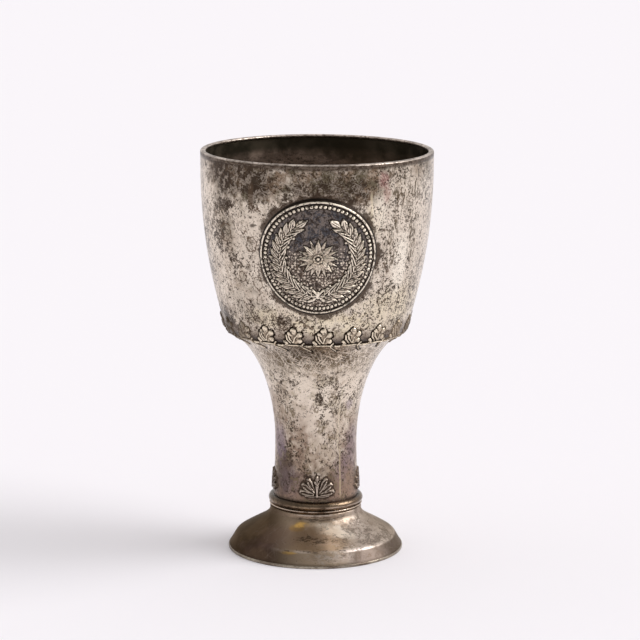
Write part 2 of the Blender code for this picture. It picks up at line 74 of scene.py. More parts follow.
class Flow:
    """A value on its way through a node tree. A sum written with it becomes a node."""

    def __init__(self, socket):
        self.socket = socket
        self.tree = socket.id_data

    def __add__(self, other):
        return calc("ADD", self, other)

    def __sub__(self, other):
        return calc("SUBTRACT", self, other)

    def __rsub__(self, other):
        return calc("SUBTRACT", other, self)

    def __mul__(self, other):
        return calc("MULTIPLY", self, other)

    def __truediv__(self, other):
        return calc("DIVIDE", self, other)

    def __rtruediv__(self, other):
        return calc("DIVIDE", other, self)

    def __abs__(self):
        return calc("ABSOLUTE", self)


def add(tree, kind, sockets, out=0, **settings):
    """One output of a new node, which has settings, and values or links in its sockets."""
    node = tree.nodes.new(kind)
    for name, value in settings.items():
        setattr(node, name, value)
    for name, value in sockets.items():
        socket = node.inputs[name]
        if isinstance(value, Flow):
            tree.links.new(value.socket, socket)
        else:
            socket.default_value = (*value, 1) if socket.type == "RGBA" else value
    return Flow(node.outputs[out])


def made(kind, *values, out=0, **settings):
    """One output of a new node in the tree of its values, which go into its first sockets."""
    tree = next(value.tree for value in values if isinstance(value, Flow))
    return add(tree, kind, dict(enumerate(values)), out, **settings)


def calc(operation, *values):
    """One sum on numbers."""
    return made("ShaderNodeMath", *values, operation=operation)


def shift(operation, *vectors, out=0):
    """One sum on vectors."""
    return made("ShaderNodeVectorMath", *vectors, out=out, operation=operation)


def joined(x, y, z=0):
    """A vector from its three parts."""
    return made("ShaderNodeCombineXYZ", x, y, z)


def parts(vector):
    """The three parts of a vector."""
    return [Flow(socket) for socket in made("ShaderNodeSeparateXYZ", vector).socket.node.outputs]


def clouds(vector, scale=1, detail=3, rough=0.5, twist=0, out=0, **settings):
    """Noise at the places that a vector gives."""
    sockets = {"Vector": vector, "Scale": scale, "Detail": detail, "Roughness": rough, "Distortion": twist}
    return add(vector.tree, "ShaderNodeTexNoise", sockets, out, **settings)


def blend(share, first, second):
    """One colour laid over another."""
    sockets = {0: share, 6: first, 7: second}
    return add(share.tree, "ShaderNodeMix", sockets, 2, data_type="RGBA", blend_type="MIX")


def rising(value, low, high, to_low=0.0, to_high=1.0):
    """A smooth step from one value to another, as the input goes from low to high."""
    return made("ShaderNodeMapRange", value, low, high, to_low, to_high, interpolation_type="SMOOTHSTEP")


def new_tree(name, kind, result, inputs):
    """The inputs of a new node group, which has named sockets and puts out one result."""
    tree = bpy.data.node_groups.new(name, kind)
    for socket, socket_type in inputs.items():
        tree.interface.new_socket(socket, in_out="INPUT", socket_type=f"NodeSocket{socket_type}")
    tree.interface.new_socket(result[0], in_out="OUTPUT", socket_type=f"NodeSocket{result[1]}")
    return [Flow(socket) for socket in tree.nodes.new("NodeGroupInput").outputs if socket.name]


def ended(value):
    """The group in which a value flows, with that value as its result."""
    value.tree.links.new(value.socket, value.tree.nodes.new("NodeGroupOutput").inputs[0])
    return value.tree


def one_piece(geometry, metal):
    """The end of a tree of geometry: real points, welded, in one metal."""
    real = made("GeometryNodeRealizeInstances", geometry)
    welded = add(real.tree, "GeometryNodeMergeByDistance", {"Geometry": real, "Distance": weld})
    return ended(add(real.tree, "GeometryNodeSetMaterial", {"Geometry": welded, "Material": metal}))


def spinning_tree():
    """Spins an outline round the goblet's axis and leaves the faint dents of long use in it."""
    outline, steps, dent_depth, dent_size, metal = new_tree(
        "spinning", "GeometryNodeTree", ("Piece", "Geometry"),
        {"Outline": "Geometry", "Steps": "Int", "Dent Depth": "Float", "Dent Size": "Float", "Metal": "Material"})
    tree = outline.tree
    points = add(tree, "GeometryNodeAttributeDomainSize", {"Geometry": outline}, "Point Count")
    columns = steps + 1
    grid = add(tree, "GeometryNodeMeshGrid", {"Vertices X": points, "Vertices Y": columns})
    index = add(tree, "GeometryNodeInputIndex", {})
    row = made("FunctionNodeIntegerMath", index, columns, operation="DIVIDE_FLOOR")
    column = made("FunctionNodeIntegerMath", index, columns, operation="MODULO")
    position = add(tree, "GeometryNodeInputPosition", {})
    radius, _, height = parts(add(tree, "GeometryNodeSampleIndex",
                                  {"Geometry": outline, "Value": position, "Index": row}, "Value",
                                  data_type="FLOAT_VECTOR"))
    turn = column * math.tau / steps
    across, ahead = calc("SINE", turn), calc("COSINE", turn) * -1
    place = joined(across * radius, ahead * radius, height)
    scaled = add(tree, "ShaderNodeVectorMath", {0: place, 3: 1 / dent_size}, operation="SCALE")
    dent = (clouds(scaled, detail=1) - 0.5) * (dent_depth * 2)
    radius = radius + dent * calc("MINIMUM", radius / steady, 1)
    spun_place = joined(across * radius, ahead * radius, height)
    return one_piece(add(tree, "GeometryNodeSetPosition", {"Geometry": grid, "Position": spun_place}), metal)


def formed(name, tree, start, values):
    """The plain mesh that a tree makes from a starting mesh, with the tree's inputs set by name."""
    rough = bpy.data.objects.new(name, start)
    bpy.context.scene.collection.objects.link(rough)
    form = rough.modifiers.new("form", "NODES")
    form.node_group = tree
    for item in tree.interface.items_tree:
        if item.name in values:
            form[item.identifier] = values[item.name]
    mesh = bpy.data.meshes.new_from_object(rough.evaluated_get(bpy.context.evaluated_depsgraph_get()))
    bpy.data.objects.remove(rough)
    mesh.materials.clear()
    mesh.materials.append(values["Metal"])
    mesh.polygons.foreach_set("material_index", [0] * len(mesh.polygons))
    return mesh


spinning = spinning_tree()


def spun(name, outline, metal, dent_depth=0.0, dent_size=20 * mm, sharp=50, steps=spin_steps):
    """A spun or bent piece: its outline, as radius and height, goes once round the axis.

    An outline that doesn't start on the axis is closed to a ring. Faces turned by more than sharp degrees
    meet in a real edge."""
    if outline[0][0] > 0:
        outline = outline + outline[:1]
    start = bpy.data.meshes.new(name)
    start.from_pydata([(radius, 0, height) for radius, height in outline], [], [])
    values = {"Steps": steps, "Dent Depth": dent_depth, "Dent Size": dent_size, "Metal": metal}
    mesh = formed(name, spinning, start, values)
    work = bmesh.new()
    work.from_mesh(mesh)
    bmesh.ops.recalc_face_normals(work, faces=work.faces)
    if work.calc_volume(signed=True) < 0:
        bmesh.ops.reverse_faces(work, faces=work.faces)
    work.to_mesh(mesh)
    work.free()
    mesh.shade_smooth()
    mesh.set_sharp_from_angle(angle=math.radians(sharp))
    return mesh


def dressed(name, mesh, finish, *nodes):
    """Makes a finished piece, which stands for its CAD nodes and rides with the goblet."""
    piece = bpy.data.objects.new(name, mesh)
    bpy.context.scene.collection.objects.link(piece)
    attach(piece, "root")
    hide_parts(*nodes)


def effect(name, *numbers, vectors=("Vector",)):
    """The inputs of a new group that makes a mask from surface coordinates and some numbers."""
    inputs = dict.fromkeys(vectors, "Vector") | dict.fromkeys(numbers, "Float")
    return new_tree(name, "ShaderNodeTree", ("Mask", "Float"), inputs)


def placed(vector, size, stretch, seed):
    """Surface coordinates in units of a size, drawn out upwards, and shifted to another part of the pattern."""
    return shift("ADD", shift("DIVIDE", vector, joined(size, size, size * stretch)), seed)


def ragged_cells(vector, scale, push):
    """The distance from the middle of a ragged cell, and two numbers of the cell's own."""
    pushed = shift("MULTIPLY_ADD", clouds(vector, scale, out=1), (push, push, push), vector)
    distance = add(vector.tree, "ShaderNodeTexVoronoi", {"Vector": pushed, "Scale": 1})
    return distance, *parts(Flow(distance.socket.node.outputs["Color"]))[:2]


def turn_of(x, y):
    """The turn of a place round the axis, from the front."""
    return calc("ARCTAN2", x, y * -1)


def mottle_group():
    """Tarnish that has grown in ragged islands. A cover of 0 leaves the metal bare, and 1 hides it."""
    vector, size, stretch, cover, fine, edge, seed = effect(
        "mottle", "Size", "Stretch", "Cover", "Fine", "Edge", "Seed")
    noise = clouds(placed(vector, size, stretch, seed), detail=fine, rough=0.85, twist=0.5)
    limit = (0.5 - cover) * (fine * -0.032 + 0.42) + 0.5
    return ended(rising(noise, limit - edge, limit + edge))


def tide_group():
    """Thin dark lines round the places where drops have dried."""
    vector, size, line, seed = effect("tide_lines", "Size", "Line", "Seed")
    vector = placed(vector, size, 1.2, seed)
    tide_line = rising(abs(clouds(vector, detail=4, rough=0.6) - 0.56), line, 0.0)
    return ended(tide_line * rising(clouds(vector, 3.1), 0.46, 0.56))


def rings_group():
    """Thin broken rings that single drops have left. The share says how many of the cells have one."""
    vector, size, share, seed = effect("drop_rings", "Size", "Share", "Seed")
    vector = placed(vector, size, 1.25, seed)
    distance, pick, width = ragged_cells(vector, 1.7, 1.1)
    line = rising(abs(distance - (width * 0.22 + 0.20)), 0.08, 0.03)
    there = calc("GREATER_THAN", pick, 1 - share)
    return ended(line * there * rising(clouds(vector, 3.3), 0.42, 0.52))


def pits_group():
    """Small round spots where tarnish has eaten in. The share says how many of the cells have one."""
    vector, size, share, seed = effect("pits", "Size", "Share", "Seed")
    distance, pick, _ = ragged_cells(placed(vector, size, 1.15, seed), 2.2, 0.35)
    over = pick - (1 - share)
    radius = calc("POWER", calc("MAXIMUM", over, 0), 0.5) * 0.55
    return ended(rising(distance, radius, radius * 0.6) * calc("GREATER_THAN", over, 0))


def patch_group():
    """One ragged patch at a place on the goblet: full in its middle, nothing past its reach."""
    vector, centre, reach, ragged = effect("patch", "Ragged", vectors=("Vector", "Centre", "Reach"))
    distance = shift("LENGTH", shift("DIVIDE", shift("SUBTRACT", vector, centre), reach), out="Value")
    fray = 420                       # waves to the metre
    return ended(rising(distance + (clouds(vector, fray, 4) - 0.5) * ragged, 1.0, 0.35))


def scratch_group():
    """Fine scratches from wiping and cleaning, in three directions round the wall."""
    vector, length, width, share = effect("scratches", "Length", "Width", "Share")
    x, y, z = parts(vector)
    wall_radius = 30 * mm
    flat = joined(turn_of(x, y) * wall_radius, z)
    limit = 0.9 - share * 0.3
    lines = 0.0
    for number, lean in enumerate((18, 64, 131)):
        turned = add(flat.tree, "ShaderNodeVectorRotate",
                     {"Vector": flat, "Axis": (0, 0, 1), "Angle": math.radians(lean)})
        moved = shift("ADD", shift("DIVIDE", turned, joined(length, width, 1)), (7.1 * number, 3.3 * number, 0))
        noise = clouds(moved, detail=2, noise_dimensions="2D")
        lines = calc("MAXIMUM", lines, rising(noise, limit, limit + 0.06))
    return ended(lines)


mottle = mottle_group()
tide = tide_group()
drop_rings = rings_group()
pits = pits_group()
patch = patch_group()
scratches = scratch_group()


def at_height(outline, height, values):
    """The value that belongs to a height on an outline, which runs from top to bottom."""
    return float(np.interp(-height, [-high for _, high in outline], values))


class Finish:
    """The finish of one piece while it is put together. Sizes and places given to it are in millimetres."""

    def __init__(self, name, outline=None):
        self.material = bpy.data.materials.new(name)
        self.material.use_nodes = True
        self.tree = self.material.node_tree
        self.shader = self.tree.nodes["Principled BSDF"]
        self.place = add(self.tree, "ShaderNodeTexCoord", {}, "Object")
        self.x, self.y, self.z = parts(self.place)
        self.outline = outline

    def use(self, group, **values):
        """A shared effect placed in this finish, with values for its sockets."""
        sockets = {name: value * mm if name in ("Size", "Length", "Width") else value for name, value in values.items()}
        return add(self.tree, "ShaderNodeGroup", {"Vector": self.place} | sockets, node_tree=group)

    def mottled(self, size, cover, seed, stretch=1, fine=3, edge=0.02):
        """Tarnish in ragged islands of a size."""
        return self.use(mottle, Size=size, Stretch=stretch, Cover=cover, Fine=fine, Edge=edge, Seed=seed)

    def noise(self, size, detail=3, rough=0.5):
        """Plain noise of a size."""
        return clouds(shift("MULTIPLY", self.place, (1 / (size * mm),) * 3), detail=detail, rough=rough)

    def patches(self, places, start=0.0, most=None):
        """Placed patches added up. Each has a turn in degrees, a height, a reach across and up, and a strength."""
        total = start
        for turn, height, across, upward, strength in places:
            radius = at_height(self.outline, height * mm, [wide for wide, _ in self.outline])
            turn = math.radians(turn)
            centre = (radius * math.sin(turn), -radius * math.cos(turn), height * mm)
            reach = (across * mm, across * mm, upward * mm)
            total = self.use(patch, Centre=centre, Reach=reach, Ragged=0.9) * strength + total
        return total if most is None else calc("MINIMUM", total, most)

    def crowded(self, cover, size):
        """A cover gathered into crowds of a size, with smooth metal between them."""
        return rising(self.noise(size, 4, 0.6), 0.44, 0.57, 0.0, 1.7) * cover

    def run(self, turn, width, low, high):
        """A thin upright line down the wall, used for a drop's dark track and for painted reflection lines: a turn in
        degrees, half its width in radians, two heights.
        """
        sway = (self.noise(5) - 0.5) * 0.03 + -math.radians(turn)
        line = rising(abs(turn_of(self.x, self.y) + sway), width, 0.4 * width)
        return line * (rising(self.z, low * mm, (low + 3) * mm) * rising(self.z, high * mm, (high - 3) * mm))

    def lay(self, mask, strength, colour):
        """Lays a colour over the surface through a mask, and gives the mask back."""
        self.colour = blend(mask * strength, self.colour, colour)
        return mask

    def stain(self, places, strength, colour, most=None):
        """Lays a colour over placed patches."""
        return self.lay(self.patches(places, most=most), strength, colour)

    def finish(self, roughness, *heights):
        """Wires the surface up. Heights are pairs of a pattern and the depth that it stands for."""
        wires = {}
        for pattern, depth in heights:
            sockets = {"Height": pattern, "Distance": depth * mm, "Strength": 1.0} | wires
            wires = {"Normal": add(self.tree, "ShaderNodeBump", sockets)}
        self.shader.inputs["Metallic"].default_value = 1.0
        for name, value in ({"Base Color": self.colour, "Roughness": roughness} | wires).items():
            self.tree.links.new(value.socket, self.shader.inputs[name])
        return self.material


def wire_finish():
    """Drawn wire: worn bright where hands and cloths reach, brown where they don't."""
    coat = Finish("bright_wire")
    dark = (0.17, 0.13, 0.10)
    coat.colour = blend(rising(coat.noise(14, 4), 0.42, 0.6), (0.42, 0.37, 0.30), dark)
    old = coat.lay(coat.mottled(1.4, 0.34, seed=3, stretch=0.6, edge=0.05), 0.6, dark)
    lines = coat.use(scratches, Length=6, Width=0.16, Share=0.55)
    return coat.finish(rising(old, 0, 1, 0.26, 0.5), (lines, -0.01), (coat.noise(0.7), 0.012))


corner = foot_wire_radius - foot_wire_round
inner = foot_wire_radius - foot_wire_width
section = (arc((corner, foot_wire_top - foot_wire_round), foot_wire_round, 90, 0, 6)
           + arc((corner, foot_wire_round), foot_wire_round, 0, -90, 6) + [(inner, 0), (inner, foot_wire_top)])
dressed("foot_wire_piece", spun("foot_wire_piece", section, wire_finish()), "wire_silver", "foot_wire")


# Foot: thin sheet silver spun to an ogee over a chuck, with a leaning band below a soft ridge, open underneath.
# It is browner than the cup, because nobody rubs it, and its shoulder shows fine scratches from wiping.
_, foot_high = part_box("foot")
foot_radius = foot_high.x
foot_top = foot_high.z
foot_sheet = 0.8 * mm
foot_hole_radius = 14.5 * mm
foot_lip = 0.4 * mm
foot_dents = (0.05 * mm, 16 * mm)    # their depth and their size
neck_radius = 17.0 * mm
neck_low = foot_top - 1.6 * mm
neck_slope = math.radians(76)
neck_reach = 3.6 * mm
ridge_radius = 29.7 * mm
ridge_height = 5.5 * mm
ridge_round = 1.3 * mm
shoulder_slope = math.radians(34)
shoulder_reach = 7.6 * mm
band_steps = 8


def curve(start, pull_start, pull_end, end, count):
    """Points on a cubic curve, both ends included."""
    points = []
    for i in range(count + 1):
        t = i / count
        weights = ((1 - t) ** 3, 3 * (1 - t) ** 2 * t, 3 * (1 - t) * t ** 2, t ** 3)
        corners = (start, pull_start, pull_end, end)
        points.append(tuple(sum(w * p[axis] for w, p in zip(weights, corners)) for axis in (0, 1)))
    return points


def down_slope(point, slope, reach):
    """The place at a reach from a point, down a slope."""
    return point[0] + reach * math.cos(slope), point[1] - reach * math.sin(slope)


def inner_face(outline, sheet):
    """The inner side of a sheet, point for point, from the outline of its outer side run from top to bottom."""
    inner = []
    for i, (radius, height) in enumerate(outline):
        before = outline[max(i - 1, 0)]
        after = outline[min(i + 1, len(outline) - 1)]
        out, up = after[0] - before[0], after[1] - before[1]
        run = math.hypot(out, up)
        inner.append((max(radius + sheet * up / run, 0), height - sheet * out / run))
    return inner


def foot_finish(outline):
    """Foot silver: an even brown film with a worn shoulder, small spots and wiping scratches, and painted shade, light
    and glints.
    """
    coat = Finish("foot_film", outline)
    across = coat.x
    film = (0.160, 0.104, 0.062)
    worn = (0.60, 0.515, 0.45)
    deep = (0.050, 0.034, 0.024)
    # painted shade and light: the foot is dark on its left and lighter on its right, standing in for the room it
    # reflects
    coat.colour = blend(rising(across, -19 * mm, 1 * mm), (0.046, 0.028, 0.016), (0.54, 0.41, 0.295))
    coat.lay(rising(across, 5 * mm, 17 * mm), 1, (0.42, 0.35, 0.30))
    coat.lay(rising(coat.noise(12, 5, 0.6), 0.48, 0.62), 0.3, film)
    plum = [(-36, 8.5, 12, 6, 0.6), (-44, 3.6, 14, 4, 0.5), (30, 3.4, 12, 2.6, 0.6), (4, 3.4, 12, 2, 0.3),
            (56, 9.5, 9, 5, 0.4)]
    coat.stain(plum, 0.35, (0.165, 0.105, 0.105), most=1)
    coat.stain([(-42, 3.0, 8, 3, 0.9), (-66, 9.0, 8, 7, 0.8)], 0.45, (0.150, 0.098, 0.060))
    # painted shade in the recess under the collar, across the front of the neck
    coat.stain([(2, 15.4, 14, 2.2, 0.8)], 0.55, film)

    # bare metal, painted golden glints and painted highlights of the shoulder and band, and painted shade over the band
    # and neck on the right
    cover = coat.patches([
        (42, 11.0, 12, 5, 0.45), (62, 7.5, 13, 5, 0.36), (22, 4.6, 12, 2.4, 0.40), (-20, 5.2, 6, 1.0, 0.45),
        (4, 3.4, 14, 2.0, 0.30), (75, 4.0, 12, 5, 0.25), (-60, 8.0, 24, 12, -0.30),
    ], rising(across, -12 * mm, 5 * mm, -0.3, 0.12))
    coat.lay(coat.mottled(3.4, cover, seed=11, stretch=0.4, fine=5, edge=0.09), 0.75, worn)
    # painted golden glints: warm reflections laid on the shoulder and band as colour, with brighter cores
    gold_glints = [(-21, 11.6, 4.0, 1.8, 0.8), (-16, 13.0, 3.2, 1.4, 0.7), (-20, 4.9, 4, 0.8, 0.7)]
    coat.stain(gold_glints, 0.70, (0.40, 0.24, 0.07), most=1)
    glint_cores = [(-19.5, 12.2, 2.4, 0.8, 0.9), (-16.8, 13.0, 2.0, 0.6, 0.9), (-17, 5.0, 3.0, 0.5, 0.6)]
    coat.stain(glint_cores, 0.65, (0.82, 0.50, 0.14), most=1)
    # painted sheen: paler patches on the band and the front of the shoulder, where the foot reflects too little light
    coat.stain([(17, 2.8, 7, 1.6, 0.6), (8, 8.5, 7, 5, 0.4)], 0.6, (0.60, 0.49, 0.42))
    # painted shade on the band at the right, which holds down the lamp's reflection there
    band_shade_right = rising(coat.z, ridge_height + 0.3 * mm, ridge_height - 0.8 * mm) * rising(across, 8 * mm, 15 * mm)
    coat.lay(band_shade_right, 0.94, (0.110, 0.084, 0.070))
    # painted shade that holds down the lamp's highlight on the neck at the right
    coat.stain([(30, 13.6, 9, 2.4, 1.0)], 0.45, (0.125, 0.092, 0.068))
    # painted highlights on the shoulder, where an overhead light would be reflected
    shoulder_highlights = [(20, 10.4, 5.5, 2.6, 0.8), (30, 9.4, 5, 2.2, 0.5), (8, 11.6, 5, 2.4, 0.55)]
    coat.stain(shoulder_highlights, 0.8, (0.93, 0.84, 0.74), most=1)

    # painted highlights on the ridge at the right and on the lip at the front, rubbed ridge, dark line over the wire
    ridge = rising(abs(coat.z - ridge_height), 0.7 * mm, 0.1 * mm)
    # painted highlight along the ridge, on the right where the lamp is reflected
    ridge_highlight = ridge * coat.patches([(32, 5.5, 10, 3, 1.2)])
    coat.lay(calc("MINIMUM", ridge_highlight, 1), 0.25, (0.90, 0.80, 0.78))
    ridge = ridge * rising(across, -18 * mm, -8 * mm)
    coat.lay(ridge * rising(coat.noise(7, 4), 0.42, 0.58), 0.5, worn)
    coat.lay(rising(coat.z, foot_wire_top + 1.0 * mm, foot_wire_top), 0.5, deep)
    # painted highlight: a bright line on the lip at the front only, where its edge catches the light
    lip_highlight = rising(abs(coat.z - (foot_top - 0.5 * mm)), 0.35 * mm, 0.1 * mm)
    coat.lay(lip_highlight * rising(abs(across), 9 * mm, 4 * mm), 0.6, worn)

    # wiped streaks, specks, spots, grain and scratches
    wiped = coat.patches([(-2, 8.6, 11, 1.8, 0.46), (-4, 5.6, 16, 0.7, 0.42), (24, 7.0, 8, 2.0, 0.34),
                          (-4, 14.6, 12, 1.8, 0.50)])
    coat.lay(coat.mottled(2.2, wiped, seed=38, stretch=0.2), 0.65, deep)
    coat.lay(coat.use(pits, Size=1.0, Share=0.24, Seed=5), 0.8, deep)
    coat.lay(coat.use(pits, Size=2.6, Share=0.06, Seed=15), 0.6, deep)
    rough_side = coat.crowded(rising(across, -4 * mm, 14 * mm, 0.05, 0.40), 4)
    grain = coat.mottled(0.9, rough_side, seed=51, stretch=0.3, fine=2, edge=0.04)
    coat.lay(grain, 0.6, (0.085, 0.060, 0.044))
    lines = coat.lay(coat.use(scratches, Length=7, Width=0.15, Share=0.60), 0.25, worn)
    shade = rising(across, -22 * mm, -8 * mm, 0.50, 0.28) + rising(across, -5 * mm, 12 * mm, 0, 0.10)
    coat.shader.inputs["Specular Tint"].default_value = (0.76, 0.69, 0.61, 1)
    return coat.finish(shade, (lines, -0.01), (coat.noise(2.5), 0.03), (grain, -0.01))


ridge_point = (ridge_radius, ridge_height)
ogee = curve((neck_radius, neck_low), down_slope((neck_radius, neck_low), neck_slope, neck_reach),
             down_slope(ridge_point, shoulder_slope, -shoulder_reach), ridge_point, 40)
band = [(ridge_radius + (foot_radius - ridge_radius) * i / band_steps,
         ridge_height + (foot_wire_top - ridge_height) * i / band_steps) for i in range(1, band_steps + 1)]
ridge_start = down_slope(ridge_point, shoulder_slope, -ridge_round)
ridge_end = down_slope(ridge_point, math.atan2(ridge_height - foot_wire_top, foot_radius - ridge_radius), ridge_round)
ridge = curve(ridge_start, ridge_point, ridge_point, ridge_end, 8)
wall = [p for p in ogee if p[0] < ridge_start[0]] + ridge + [p for p in band if p[0] > ridge_end[0]]
inside = inner_face(wall, foot_sheet)
inside[-1] = (inside[-1][0], foot_wire_top)
section = ([(foot_hole_radius, foot_top)]
           + arc((neck_radius - foot_lip, foot_top - foot_lip), foot_lip, 90, 0, 5) + wall + inside[::-1]
           + [(inside[0][0], foot_top - foot_sheet), (foot_hole_radius, foot_top - foot_sheet)])
foot_mesh = spun("foot_piece", section, foot_finish(ogee + band), *foot_dents, sharp=38)
dressed("foot_piece", foot_mesh, "foot_silver", "foot")


# Collar: a stout half-round wire that hides the joint of foot and stem, with a thin roll under it.
# Painted highlight lines lie along its crown and lower part, and painted shade darkens its upper left, its top edge and
# the foot's neck under it; the stem is dark just above it.
collar_low, collar_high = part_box("stem_collar")
collar_radius = collar_high.x
collar_middle = (collar_low.z + collar_high.z) / 2
collar_proud = 1.9 * mm
collar_overlap = 0.3 * mm
roll_round = 0.34 * mm
roll_in = 0.62 * mm
roll_height = collar_low.z + 0.55 * mm
skirt_in = 0.75 * mm
skirt_low = collar_low.z - 0.22 * mm
torus_half = (collar_high.z - roll_height - 0.18 * mm) / 2


def collar_finish():
    """Collar silver: brown wire, with painted shade black where it meets the stem and over its upper left, and painted
    highlight lines.
    """
    coat = Finish("collar_film")
    across = coat.x
    worn = (0.60, 0.49, 0.40)
    deep = (0.040, 0.028, 0.020)
    coat.colour = blend(rising(coat.noise(6, 4), 0.4, 0.6), (0.27, 0.195, 0.13), (0.16, 0.112, 0.076))
    # painted highlight lines along the lower part and, on the right, the crown, broken at the front where no light is
    # reflected
    gap = rising(abs(across - 2 * mm), 0.5 * mm, 2.4 * mm)
    height = coat.z + (coat.noise(5) - 0.5) * (0.7 * mm)
    low_highlight_line = rising(abs(height - (collar_middle - 1.35 * mm)), 0.36 * mm, 0.108 * mm) * gap
    coat.lay(low_highlight_line, 0.8, worn)
    crown = rising(abs(height - collar_middle), 0.42 * mm, 0.126 * mm) * gap
    coat.lay(crown * rising(across, 0, 7 * mm), 0.6, worn)
    # painted shadow over the upper half of the wire on its left
    dusk = rising(coat.z, collar_middle, collar_high.z - 0.6 * mm) * rising(across, 1.5 * mm, -8 * mm)
    coat.lay(dusk, 0.7, deep)
    # painted shade along the top edge, where the collar meets the stem
    coat.lay(rising(coat.z, collar_high.z - 0.5 * mm, collar_high.z - 0.05 * mm), 0.8, deep)
    grain = coat.mottled(1.6, 0.32, seed=23, stretch=0.4, edge=0.03)
    coat.lay(grain, 0.6, deep)
    lines = coat.use(scratches, Length=5, Width=0.15, Share=0.5)
    return coat.finish(rising(grain, 0, 1, 0.22, 0.45), (lines, -0.01), (coat.noise(1.5), 0.03))


section = (
    arc((collar_radius - collar_proud, collar_high.z - torus_half), (collar_proud, torus_half), 90, -62, 24)
    + arc((collar_radius - roll_in, roll_height), roll_round, 55, -70, 12)
    + [(collar_radius - skirt_in, skirt_low), (collar_radius - collar_proud - collar_overlap, skirt_low)])
dressed("collar_piece", spun("collar_piece", section, collar_finish()), "foot_silver", "stem_collar")


# Stem: one spun trumpet, hollow, narrow at its waist and opening to the mouth that carries the cup.
# Old tarnish lies violet and brown on its sides, and a worn pale panel runs down its front.
stem_low, stem_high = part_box("stem")
stem_foot_radius = 15.8 * mm
waist_radius = 15.14 * mm
waist_height = stem_low.z + 24.1 * mm
mouth_slope = math.radians(20.0)
mouth_run = 10.2 * mm
flare_reach = 21.0 * mm
waist_reach = 8.0 * mm
end_reach = 6.0 * mm
stem_sheet = 0.8 * mm
stem_dents = (0.06 * mm, 18 * mm)
stem_steps = 288


